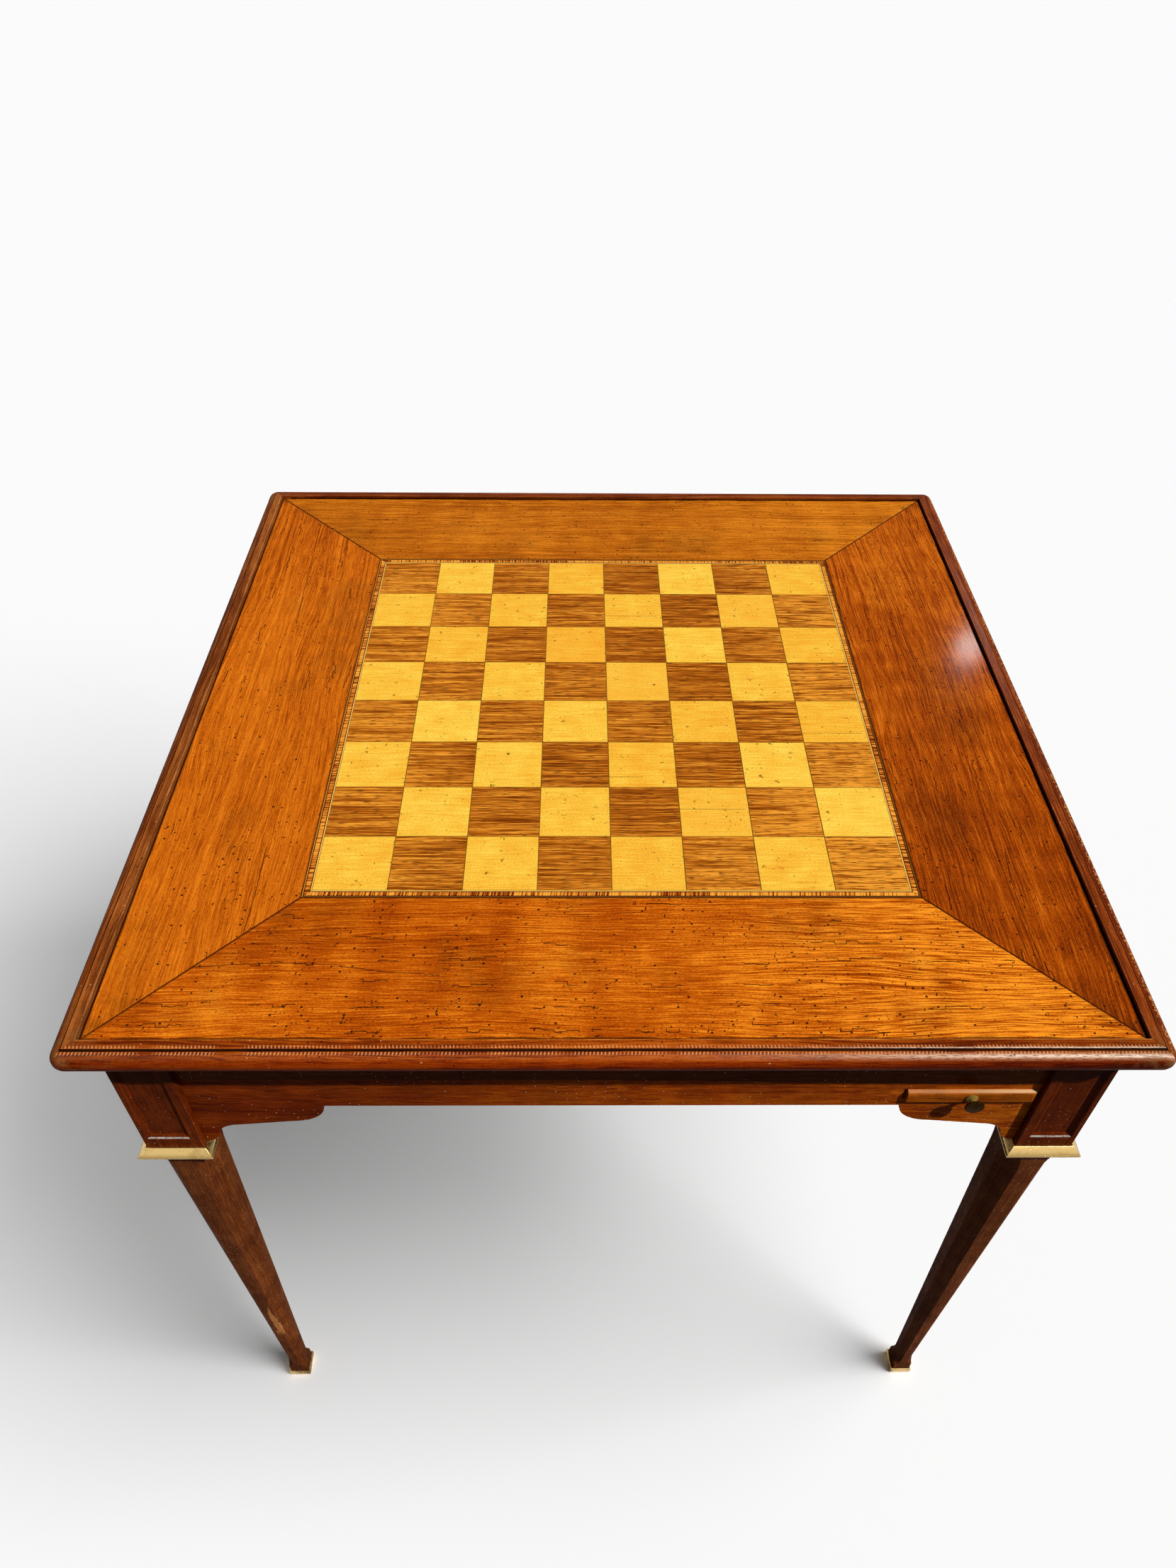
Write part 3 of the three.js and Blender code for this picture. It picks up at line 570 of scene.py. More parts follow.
def band_finish(side, seed):
    material = begin("crossband_" + side)
    x, y, _ = parts(place())
    along = x if GRAIN[side] == "x" else y
    outward = larger(abs(x), abs(y)) - BOARD_HALF
    slant = along + 0.12 * outward
    bars = noise(joined(slant / (1.9 * MM), outward / 0.03, seed), 1, 0.7)
    tone, _, _ = lots(joined(floor(along / PIECE_LENGTH), seed, 0))
    stretch = smooth(noise(joined(along / 0.02, seed, 3), 1), 0.40, 0.60)
    light = 0.54 + (1.7 + 2.0 * stretch) * (bars - 0.5) + 0.5 * (tone - 0.5)
    colour = wood_ramp(light, BAND_COLOURS)
    for line, share in (
            (BLACK_LINE, outward > BARS_END),
            (TAN_LINE, (outward > SECOND_DARK_END) * TAN_SHARE[side]),
            (BLACK_LINE, outward > TAN_LINE_END),
            (BLACK_LINE, outward < DARK_LINE_END),
            (BOXWOOD, outward < BOX_LINE_END)):
        colour = blend(colour, line, share)
    return end(material, colour, 0.4, bars, 0.08 * MM, Coat_Weight=0.01, **POLISH)

for seed, side in enumerate(SIDES, 11):
    dress(band_finish(side, seed), "top_band_" + side)

# %% [markdown]
# ## Chess squares
# Sixty-four squares of veneer, all with the grain from side to side. The pale ones are a golden
# maple with faint streaks and small olive flecks. The dark ones are striped, strongly in the left
# columns and finer in the middle, and turn golden at the right front. Every square was cut from
# another place, so each one draws lots for its place in the log, its tone and its few cracks.

# %% The squares
PALE_COLOURS = ((0.90, 0.37, 0.022), (0.97, 0.54, 0.050), (0.99, 0.70, 0.095))
PALE_ORANGE = (0.94, 0.37, 0.026)
DARK_COLOURS = ((0.15, 0.024, 0.001), (0.47, 0.122, 0.006), (0.88, 0.340, 0.030))
FLECK = (0.15, 0.072, 0.004)
PORE = (0.15, 0.042, 0.005)
JOINT = (0.26, 0.120, 0.012)

def pale_square(flat, x, y, lot, tone, kind):
    streak = noise(joined(x / 0.03, y / (1.2 * MM), 40 * lot), 2)
    cloud = noise(flat / 0.02 + 3, 2)
    grit = noise(flat / (1.5 * MM), 1)
    light = 0.5 + 0.8 * (streak - 0.5) + 0.45 * (cloud - 0.5) + 0.7 * (grit - 0.5)
    light = light + 0.22 * (tone - 0.5)
    colour = wood_ramp(light, PALE_COLOURS)
    stained = (kind > 0.88) * 0.3
    colour = blend(colour, PALE_ORANGE, stained)
    curl = joined(noise(flat / (4 * MM)), noise(flat / (4 * MM) + 9), 0) * (9 * MM)
    bent = (flat + curl) * (0.6, 1.2, 1)
    swarm = smooth(noise(flat / 0.045, 1), 0.42, 0.62)
    crowded = specks(flat, 3, 0.5, 0.05 + 0.12 * swarm + 0.5 * stained)
    return colour, larger(specks(bent, 8, 1.1, 0.16 + 0.3 * swarm), crowded)

def dark_square(x, y, lot, tone, kind):
    sway = noise(joined(x / 0.05, y / 0.03, 9 * lot), 1)
    across = y + (sway - 0.5) * (2.2 * MM)
    stripes = noise(joined(x / 0.20, across / (2.0 * MM), 20 * tone), 1)
    wide = noise(joined(x / 0.15, across / (5.5 * MM), 11 * lot), 0)
    fine = noise(joined(x / 0.035, across / (1.1 * MM), 20 * kind), 1)
    striped = smooth(x, 0.02, -0.16)
    golden = 0.11 * smooth(abs(x), 0.12, 0.22) + 0.24 * smooth(x - y, 0.2, 0.5)
    to_right = smooth(x, 0.10, 0.22)
    light = 0.50 + 0.65 * (stripes - 0.5) + 0.5 * striped * (wide - 0.5)
    light = light + (1.2 + 0.9 * to_right) * (fine - 0.5) + 0.10 * (tone - 0.5) + golden
    dashes = noise(joined(x / 0.009, across / (1.0 * MM), 20 * lot), 0)
    return wood_ramp(light, DARK_COLOURS), smooth(dashes, 0.60, 0.70) * 0.85

def chess_finish():
    material = begin("chess_squares")
    x, y, _ = parts(place())
    flat = joined(x, y, 0)
    column, row = floor((x + BOARD_HALF) / SQUARE), floor((y + BOARD_HALF) / SQUARE)
    is_dark = is_odd(column + row)
    lot, tone, kind = lots(joined(column, row, 5))
    pale, flecks = pale_square(flat, x, y, lot, tone, kind)
    dark, pores = dark_square(x, y, lot, tone, kind)
    in_x = x + BOARD_HALF - column * SQUARE
    in_y = y + BOARD_HALF - row * SQUARE
    to_joint = smaller(SQUARE / 2 - abs(in_x - SQUARE / 2), SQUARE / 2 - abs(in_y - SQUARE / 2))
    split = (abs(in_y - (0.2 + 0.6 * tone) * SQUARE) < 0.22 * MM) * (lot < 0.12)
    split = split * (in_x < (0.5 + 0.5 * kind) * SQUARE)
    marks = larger(larger(flecks, split) * (1 - is_dark), pores * is_dark)
    dents = specks(flat + 0.4, 11, 0.8, 0.16)
    colour = blend(pale, dark, is_dark)
    colour = blend(colour, blend(FLECK, PORE, is_dark), 0.9 * larger(marks, dents))
    colour = blend(colour, JOINT, smooth(to_joint, 0.65 * MM, 0.25 * MM) * 0.8)
    height = 0 - larger(marks, dents)
    roughness = 0.40 + 0.12 * marks
    return end(material, colour, roughness, height, 0.12 * MM, Coat_Weight=0.015, **POLISH)

dress(chess_finish(), "chessboard")

# %% [markdown]
# ## Rim
# A raised rim holds the loose top. Its flat lip ends in a fine quirk, painted black as its shade,
# and beyond that its nose is round. The tool that cut the quirk chattered: on both sides of it lies
# a row of small bright crescents. The lip is darker at the sides than at the front, dust sits in
# the left corner, and small dents shine where the polish broke. Painted highlights lie on the front
# rail's nose and lip, and painted shade darkens the nose's underside and the gap beside the board.

# %% The rim's rails
RIM_COLOURS = {
    "front": ((0.189, 0.024, 0.001), (0.482, 0.089, 0.004), (0.688, 0.181, 0.014)),
    "right": ((0.13, 0.022, 0.002), (0.27, 0.050, 0.007), (0.46, 0.115, 0.016)),
    "back": ((0.12, 0.018, 0.001), (0.22, 0.038, 0.004), (0.38, 0.085, 0.010)),
    "left": ((0.16, 0.034, 0.004), (0.32, 0.090, 0.014), (0.52, 0.160, 0.026)),
}
NOSE_TONE = (0.52, 0.29, 0.12)
NOSE_UNDER_SHADE = (0.45, 0.38, 0.35)
HATCH_TONE = (0.66, 0.50, 0.45)
END_TONE = (0.66, 0.62, 0.80)
WORN_AND_HIGHLIGHT_TONE = (1.8, 3.3, 8)
PAINTED_SHEEN = (0.72, 0.38, 0.22)
PAINTED_SHEEN_CORE = (1.0, 0.80, 0.62)
PAINTED_SHEEN_MIDDLE = 414.4 * MM
CREVICE_SHADE = (0.010, 0.004, 0.002)
DUST = (0.22, 0.10, 0.03)
PALE_CHIP = (0.80, 0.42, 0.18)
CRESCENT = (0.88, 0.42, 0.17)
RUBBED_GOLD = (0.66, 0.27, 0.06)
CHATTER_PITCH = 2.8 * MM
CHATTER_BEND = 60
HATCH_PITCH = 1.3 * MM
LIP_FACE = 762.5 * MM
NOSE_FROM = 755 * MM

def chatter_marks(side, seed, along, from_quirk, z):
    """The small crescents that the tool left beside the quirk of the front rail."""
    turn = along / CHATTER_PITCH + from_quirk * CHATTER_BEND
    ridge = Wire.reckon("SINE", turn * math.tau)
    patchy = smooth(noise(joined(along / 0.03, seed, 0), 2), 0.36, 0.52) * (side == "front")
    near = smooth(from_quirk, 4.4 * MM, 2.6 * MM) * smooth(from_quirk, 0.9 * MM, 1.4 * MM)
    return smooth(ridge, 0.0, 0.8) * near * patchy * smooth(z, NOSE_FROM, 0.760)

def with_painted_sheen(colour, seed, x, z, along, outermost):
    """The painted highlight on the front rail's nose and lip, strongest at the right end."""
    from_middle = abs(outermost - PAINTED_SHEEN_MIDDLE)
    on_nose = smooth(from_middle, 3.4 * MM, 0.8 * MM) * (z > NOSE_FROM)
    on_lip = smooth(outermost, 407.6 * MM, 408.6 * MM) * (z > LIP_FACE)
    streaky = smooth(noise(joined(along / 0.006, outermost / (0.8 * MM), seed), 3, 0.7), 0.3, 0.6)
    sheen = (0.05 + 0.80 * smooth(x, 0.0, 0.33)) * streaky * larger(on_nose, on_lip)
    core = smooth(from_middle, 1.6 * MM, 0.4 * MM) * (z > 0.756)
    core = larger(core, on_lip) * smooth(x, 0.10, 0.37)
    return blend(blend(colour, PAINTED_SHEEN, sheen), PAINTED_SHEEN_CORE, 0.8 * core * streaky)

def rim_finish(side, seed):
    material = begin("rim_" + side)
    x, y, z = parts(place())
    along = x if GRAIN[side] == "x" else y
    outermost = larger(abs(x), abs(y))
    light, fine = timber(cut_from(GRAIN[side], seed), 6 * MM, 0.8, 0.5, 0.45)
    colour = wood_ramp(light, RIM_COLOURS[side])
    from_quirk = abs(outermost - (RIM_FLAT_END + QUIRK_END) / 2)
    chatter = chatter_marks(side, seed, along, from_quirk, z)
    hatch = Wire.reckon("SINE", (along + 0.9 * outermost) * (math.tau / HATCH_PITCH))
    colour = blend(colour, colour * HATCH_TONE, (0.5 + 0.5 * hatch) * (z > LIP_FACE))
    if side == "front":
        colour = blend(colour, colour * END_TONE, smooth(abs(x + 0.06), 0.12, 0.36))
    beyond = smooth(outermost, RIM_FLAT_END, QUIRK_END)
    colour = blend(colour, colour * NOSE_TONE, beyond)
    # Painted shade: the underside of the nose is darkened.
    colour = blend(colour, colour * NOSE_UNDER_SHADE, beyond * smooth(z, 0.757, 0.747))
    # Paler nose top and lip arris: partly rubbed polish, partly a painted highlight.
    rubbed = noise(joined(along / 0.05, outermost / 0.003, z / 0.003 + seed), 2)
    top_of_nose = beyond * smooth(z, 0.757, 0.7605) * smooth(rubbed, 0.3, 0.6)
    arris = smooth(outermost, 402.2 * MM, 401.5 * MM) * smooth(z, 762.3 * MM, 762.8 * MM)
    worn = larger(0.6 * top_of_nose, 0.6 * arris)
    colour = blend(colour, colour * WORN_AND_HIGHLIGHT_TONE, worn)
    colour = blend(colour, CRESCENT, 0.6 * chatter)
    # Painted highlight: the front rail's sheen is painted into its colour.
    if side == "front":
        colour = with_painted_sheen(colour, seed, x, z, along, outermost)
    corner = smooth(smaller(abs(x), abs(y)), 0.36, 0.42)
    grime = smooth(noise(place() / 0.012, 3, 0.65), 0.42, 0.62)
    dusty = corner * grime * (0.6 if side in ("left", "front") else 0.25)
    colour = blend(colour, DUST, dusty)
    flat = joined(along, larger(outermost, 0.82 - outermost) - z, 0)
    if side == "right":
        rubs = specks(flat + 0.7, 2.6, 1.6, 0.6) * smooth(outermost, 0.412, 0.415)
        colour = blend(colour, RUBBED_GOLD, rubs)
    chips = specks(flat, 16, 1.1, 0.10)
    dents = specks(flat + 0.3, 9, 1.1, 0.14)
    colour = blend(colour, DIRT_AND_SHADE, 0.9 * dents)
    colour = blend(colour, PALE_CHIP, 0.8 * chips)
    # Painted shade: the quirk and the gap beside the board are painted nearly black, except where
    # the left wall is lit.
    in_quirk = smooth(from_quirk, 0.95 * MM, 0.5 * MM) * (z > 0.7595)
    lit_wall = smooth(z, 757.2 * MM, 758.4 * MM) * (x < -0.39)
    gap_shade = smooth(outermost, 402.0 * MM, 401.2 * MM) * smooth(z, 760.6 * MM, 759.6 * MM)
    gap_shade = gap_shade * (1 - lit_wall)
    colour = blend(colour, CREVICE_SHADE, larger(in_quirk, 0.85 * gap_shade))
    height = 0.2 * fine + 0.5 * chatter - dents - chips
    roughness = 0.34 + 0.25 * dusty - 0.05 * worn
    polish = dict(POLISH, Coat_Roughness=0.27)
    return end(material, colour, roughness, height, 0.2 * MM, Coat_Weight=0.05, **polish)

for seed, side in enumerate(SIDES, 21):
    dress(rim_finish(side, seed), "rim_" + side)

# %% [markdown]
# ## Aprons and legs
# The carcass is the same wood, stained darker. Its grain runs along the aprons and up the legs.
# Woodworm left pinholes with dark rims, their pale centres partly a painted glint, and knocks left
# small scars. On the front left leg the polish is scraped off one arris, down to the bare wood. The
# rim's shadow is painted as a dark strip along the tops of the aprons and leg heads.

# %% Aprons
APRON_COLOURS = ((0.25, 0.030, 0.001), (0.46, 0.076, 0.002), (0.68, 0.155, 0.007))
SHADY_TONE = (0.45, 0.33, 0.35)
SUNNY_TONE = (1.15, 1.35, 1.4)
PINHOLE_AND_GLINT = (1.0, 0.74, 0.42)
SHADOW_STRIP_LOW, SHADOW_STRIP_SLOPE = 687.5 * MM, 7.5 * MM

def worm_holes(flat, crowd_size, seed):
    """Pinholes in swarms, pale partly as a painted glint, and the dark rims round them."""
    swarm = smooth(noise(flat / crowd_size + seed, 1), 0.46, 0.62)
    chance = 0.08 + 0.55 * swarm
    return specks(flat, 8, 0.65, chance), specks(flat, 8, 1.2, chance)

def apron_finish(side, seed):
    material = begin("apron_" + side)
    x, y, z = parts(place())
    along = x if GRAIN[side] == "x" else y
    flat = joined(along, z, 0)
    light, fine = timber(cut_from(GRAIN[side], seed), 9 * MM, 0.6, 0.5, 0.4)
    colour = wood_ramp(light, APRON_COLOURS)
    # Painted shadow: the rim's shadow is a dark strip along the top, its lower edge sloping on the
    # front apron.
    shadow_strip_low = SHADOW_STRIP_LOW - SHADOW_STRIP_SLOPE * smooth(along, -0.05, 0.33) * (side == "front")
    rim_shadow = smooth(z - shadow_strip_low, 0, 2.5 * MM)
    colour = blend(colour, colour * SHADY_TONE, smooth(along, 0.06, -0.26) * (1 - rim_shadow))
    colour = blend(colour, colour * SUNNY_TONE, smooth(along, 0.16, 0.32))
    grime = grime_in(place(), 0.035, 0.40)
    low_edge = smooth(z, 0.600, 0.592)
    colour = blend(colour, DIRT_AND_SHADE, larger(0.3 * grime, larger(0.4 * low_edge, 0.82 * rim_shadow)))
    holes, rims = worm_holes(flat, 0.05, seed)
    scars = stepped_checks(along, z, 0.15, seed)
    colour = blend(colour, DIRT_AND_SHADE, larger(0.6 * rims, 0.7 * scars))
    # Pale pinholes, partly a painted glint.
    colour = blend(colour, PINHOLE_AND_GLINT, holes)
    height = 0.2 * fine - 0.2 * rims - scars
    roughness = 0.40 + 0.15 * grime
    return end(material, colour, roughness, height, 0.2 * MM, Coat_Weight=0.02, **POLISH)

for seed, side in enumerate(SIDES, 31):
    dress(apron_finish(side, seed), "apron_" + side)

# %% Legs
LEG_COLOURS = ((0.080, 0.015, 0.003), (0.180, 0.044, 0.009), (0.32, 0.090, 0.020))
HEAD_SHADE = (0.74, 0.43, 0.22)
DUST_AND_REFLECTION_GREY = (0.44, 0.39, 0.34)
PANEL_INSET = 350 * MM
BEVEL_LOW, BEVEL_HIGH = 605.3 * MM, 608 * MM
HEAD_SURFACE = 395.9 * MM
BARE_WOOD = (0.80, 0.32, 0.09)
SCRAPE_LOW, SCRAPE_HIGH = 130 * MM, 226 * MM
SCRAPE_X, SCRAPE_Y = -369 * MM, -384 * MM
SCRAPE_END = 20 * MM

def leg_finish(seed):
    material = begin("leg_wood_old")
    x, y, z = parts(place())
    light, fine = timber(cut_from("z", seed), 7 * MM, 0.35, 0.35, 0.45, 0.10)
    colour = wood_ramp(light, LEG_COLOURS)
    head = smooth(z, 0.590, 0.600)
    colour = blend(colour, colour * HEAD_SHADE, head)
    # Pale line in the lower bevel of the sunk panel: dust, and partly a painted reflection.
    sunk = (abs(y) < HEAD_SURFACE) * (abs(x) > PANEL_INSET) * (z > BEVEL_LOW) * (z < BEVEL_HIGH)
    mottled = 0.35 + 0.65 * smooth(noise(place() / 0.002, 2, 0.7), 0.36, 0.56)
    colour = blend(colour, DUST_AND_REFLECTION_GREY, sunk * mottled)
    grime = grime_in(place(), 0.03)
    foot = smooth(z, 0.07, 0.02)
    # Painted shadow of the rim across the top of the leg head.
    rim_shadow = smooth(z, 0.688, 0.697)
    colour = blend(colour, DIRT_AND_SHADE, larger(larger(0.35 * grime, 0.45 * foot), 0.6 * rim_shadow))
    flat = joined(x + y, z, 0)
    holes, rims = worm_holes(flat, 0.06, seed)
    knocks = specks(flat * (1, 0.5, 1), 12, 1.3, 0.16)
    colour = blend(colour, DIRT_AND_SHADE, larger(0.6 * rims, 0.7 * knocks))
    # The pale pinholes, partly a painted glint, are left out in the painted shadow under the rim.
    colour = blend(colour, PINHOLE_AND_GLINT, 0.6 * holes * (1 - rim_shadow))
    ragged = noise(joined(x, y, z / 6) / 0.003, 2, 0.6)
    away = abs(x - SCRAPE_X) + abs(y - SCRAPE_Y)
    upright = smooth(z, SCRAPE_LOW, SCRAPE_LOW + SCRAPE_END)
    upright = upright * smooth(z, SCRAPE_HIGH, SCRAPE_HIGH - SCRAPE_END)
    scrape = smooth(ragged + 90 * (4.5 * MM - away), 0.50, 0.58) * upright
    colour = blend(colour, BARE_WOOD, 0.7 * scrape)
    height = 0.2 * fine - 0.2 * rims - knocks - 0.8 * scrape
    roughness = 0.40 + 0.12 * grime + 0.3 * scrape
    return end(material, colour, roughness, height, 0.25 * MM, Coat_Weight=0.02, **POLISH)

dress(leg_finish(41), *("leg_" + corner for corner in CORNERS))

# %% Candle slides
SLIDE_COLOURS = ((0.27, 0.050, 0.002), (0.45, 0.100, 0.005), (0.68, 0.195, 0.014))
SLIDE_LIP = 380 * MM
SLIDE_FACE = 390.5 * MM
SLIDE_LOW, SLIDE_HIGH = 660.4 * MM, 674.4 * MM
ARRIS_HIGHLIGHT = (0.84, 0.50, 0.24)

def slide_finish(seed):
    material = begin("slide_wood_old")
    x, y, z = parts(place())
    light, fine = timber(cut_from("y", seed), 8 * MM, 0.6, 0.6, 0.4)
    lip_light, _ = timber(cut_from("x", seed), 8 * MM, 0.4, 0.4, 0.4)
    is_lip = abs(y) > SLIDE_LIP
    light = lip_light * is_lip + light * (1 - is_lip)
    colour = wood_ramp(light, SLIDE_COLOURS)
    grime = grime_in(place(), 0.02)
    colour = blend(colour, DIRT_AND_SHADE, 0.3 * grime)
    marks = specks(joined(x, y + z, 0), 9, 0.8, 0.18)
    colour = blend(colour, DIRT_AND_SHADE, 0.8 * marks)
    face = abs(y) > SLIDE_FACE
    # Painted highlight on the slide's top arris, brighter towards the outer end.
    top_arris = smooth(z, SLIDE_HIGH - 1.7 * MM, SLIDE_HIGH - 0.6 * MM) * face
    colour = blend(colour, ARRIS_HIGHLIGHT, top_arris * (0.3 + 0.5 * smooth(abs(x), 0.26, 0.34)))
    # Painted shade along the slide's lower edge, in the gap below it.
    colour = blend(colour, DIRT_AND_SHADE, 0.8 * smooth(z, SLIDE_LOW + 1.1 * MM, SLIDE_LOW + 0.5 * MM) * face)
    return end(material, colour, 0.42 + 0.1 * grime, 0.2 * fine - marks, 0.2 * MM,
               Coat_Weight=0.01, **POLISH)

dress(slide_finish(47), "slide_front", "slide_back")

# %% [markdown]
# ## Brass
# Cast collars sit under the leg heads and shoes on the feet. Hands and dusters keep the edges
# bright, while the hollows and the shoes hold brown tarnish, and painted shade darkens the collars'
# lower band. The knobs are duller, an olive brass, their stems partly lit by a painted highlight.

# %% Three brasses
COLLAR_TOP = 593.4 * MM
KNOB_DISC = 400.9 * MM

def brass_finish(name, bright, dull, tarnish, smoothest, low=0, high=0, stem_and_highlight=None, metal=1,
                 **skin):
    """Brass, dull below low and bright above high where they are given, a painted shade on the
    collars.
    """
    material = begin(name)
    where = place()
    _, y, z = parts(where)
    cloud = noise(where / 0.014, 3, 0.6)
    streak = noise(where / (0.003, 0.003, 0.0012), 2)
    old = smooth(cloud + 0.35 * (streak - 0.5), 0.5 - 0.1 * tarnish, 0.72 - 0.1 * tarnish)
    pits = smooth(noise(where / 0.0016, 1), 0.66, 0.76)
    colour = blend(bright, dull, larger(tarnish * old, 0.6 * pits))
    if high:
        # Painted shade: the lower band of the collar is darkened towards its underside.
        colour = blend(colour, dull, 0.75 * smooth(z, high, low))
        colour = blend(colour, dull, 0.7 * smooth(z, COLLAR_TOP - 1 * MM, COLLAR_TOP) * pits)
    # The knob's stem is brighter brass, partly a painted highlight.
    if stem_and_highlight:
        colour = blend(colour, stem_and_highlight, smooth(abs(y), KNOB_DISC + 0.6 * MM, KNOB_DISC - 0.6 * MM))
    roughness = smoothest + 0.22 * old + 0.15 * pits
    return end(material, colour, roughness, 0.4 * streak - pits, 0.06 * MM, Metallic=metal, **skin)

collar_brass = brass_finish("collar_brass", (0.70, 0.48, 0.18), (0.17, 0.10, 0.025),
                            tarnish=0.40, smoothest=0.26, low=585.4 * MM, high=590.6 * MM)
shoe_brass = brass_finish("shoe_brass", (0.66, 0.46, 0.19), (0.20, 0.12, 0.04),
                          tarnish=1.0, smoothest=0.32)
knob_brass = brass_finish("knob_brass_old", (0.045, 0.018, 0.003), (0.020, 0.009, 0.002),
                          tarnish=1.0, smoothest=0.42, stem_and_highlight=(0.26, 0.17, 0.03), metal=0.2,
                          **POLISH)
dress(collar_brass, *("collar_" + corner for corner in CORNERS))
dress(shoe_brass, *("sabot_" + corner for corner in CORNERS))
dress(knob_brass, "knob_front", "knob_back")

# %% [markdown]
# ## Inside the well
# The photograph shows the table closed, so the well follows what such tables have: dark polished
# sides and bar, and a veneered field with twenty-four long points, pale maple and black in turn.
# The floor of the troughs, the ledgers and the slides' cradles are plain wood.

# %% Plain woods of the inside
LINING_COLOURS = ((0.060, 0.014, 0.004), (0.140, 0.036, 0.009), (0.25, 0.075, 0.018))
PLAIN_COLOURS = ((0.20, 0.105, 0.040), (0.36, 0.205, 0.085), (0.50, 0.310, 0.140))

def inside_finish(name, grain, colours, seed, roughness, coat):
    material = begin(name)
    x, y, z = parts(place())
    light, fine = timber(cut_from(grain, seed), 8 * MM, 0.9, 0.5, 0.3)
    colour = wood_ramp(light, colours)
    grime = grime_in(place(), 0.05, dirty=0.68)
    colour = blend(colour, DIRT_AND_SHADE, 0.3 * grime)
    marks = specks(joined(x + z, y + z, 0), 10, 0.8, 0.15)
    colour = blend(colour, DIRT_AND_SHADE, 0.7 * marks)
    return end(material, colour, roughness + 0.1 * grime, 0.25 * fine - marks, 0.2 * MM,
               Coat_Weight=coat, **POLISH)

lining = {grain: inside_finish("lining_" + grain, grain, LINING_COLOURS, seed, 0.36, 0.10)
          for seed, grain in ((51, "x"), (52, "y"))}
plain = {grain: inside_finish("plain_wood_" + grain, grain, PLAIN_COLOURS, seed, 0.6, 0)
         for seed, grain in ((61, "x"), (62, "y"))}
for side in SIDES:
    dress(lining[GRAIN[side]], "lining_" + side)
    dress(plain[GRAIN[side]], "ledger_" + side)
dress(lining["y"], "well_bar", "partition_left", "partition_right")
dress(plain["x"], "well_floor", "top_core")
dress(plain["y"], "slide_cradle_front", "slide_cradle_back")

# %% The playing field and its points
FIELD_START = 12.2 * MM
FIELD_END = 287.7 * MM
POINTS_PER_HALF = 6
POINT_LENGTH = 245 * MM
FIELD_REACH = 334.7 * MM
FIELD_GROUND = ((0.11, 0.024, 0.005), (0.24, 0.060, 0.011), (0.38, 0.110, 0.022))
POINT_DARK = ((0.012, 0.006, 0.004), (0.030, 0.014, 0.008), (0.070, 0.030, 0.014))
POINT_PALE = ((0.60, 0.32, 0.07), (0.80, 0.50, 0.13), (0.90, 0.62, 0.20))

def field_finish():
    material = begin("field_with_points")
    x, y, _ = parts(place())
    pitch = (FIELD_END - FIELD_START) / POINTS_PER_HALF
    from_bar = abs(x) - FIELD_START
    index = floor(from_bar / pitch)
    from_axis = abs(from_bar - (index + 0.5) * pitch)
    point_half = (abs(y) - (FIELD_REACH - POINT_LENGTH)) * (pitch / 2 / POINT_LENGTH)
    inside = from_axis < point_half
    is_dark = is_odd(index + (y > 0) + (x > 0))
    lot, tone, _ = lots(joined(index, y > 0, x > 0))
    ground, fine = timber(cut_from("x", 71), 8 * MM, 0.9, 0.5, 0.4)
    streaks = noise(joined(x / (1.3 * MM), y / 0.06, 30 * lot), 2) + 0.15 * (tone - 0.5)
    points = blend(wood_ramp(streaks, POINT_PALE), wood_ramp(streaks, POINT_DARK), is_dark)
    colour = blend(wood_ramp(ground, FIELD_GROUND), points, inside)
    edge = smooth(abs(from_axis - point_half), 0.7 * MM, 0.25 * MM)
    colour = blend(colour, DIRT_AND_SHADE, 0.7 * edge)
    marks = specks(joined(x, y, 0), 9, 0.7, 0.14)
    colour = blend(colour, DIRT_AND_SHADE, 0.6 * marks)
    return end(material, colour, 0.42, 0.2 * fine - marks, 0.12 * MM, Coat_Weight=0.08, **POLISH)

dress(field_finish(), "field_left", "field_right")

# %% [markdown]
# ## Baize
# Green cloth is glued to the reverse of the loose top, so that the same board serves for cards when
# it is turned over. A thin block would look like painted card. Here the cloth is a fine mesh of its
# own with a slightly uneven face, and its felted wool is drawn by fibres in the relief.

# %% The cloth's form
CLOTH_HALF = BAND_OUTER - 0.2 * MM
CLOTH_UNDER = 748 * MM
CLOTH_THICK = 1 * MM
CLOTH_CELLS = 52

def cloth_height(x, y):
    """How far the cloth's face lies above its lowest point, in metres."""
    ripple = math.sin(61 * x + 2 * math.sin(37 * y)) * math.sin(53 * y + 1.3 * math.sin(29 * x))
    return 0.08 * MM * (1 + ripple)

def grid_points(height):
    steps = [CLOTH_HALF * (2 * i / CLOTH_CELLS - 1) for i in range(CLOTH_CELLS + 1)]
    return [(x, y, height(x, y)) for y in steps for x in steps]

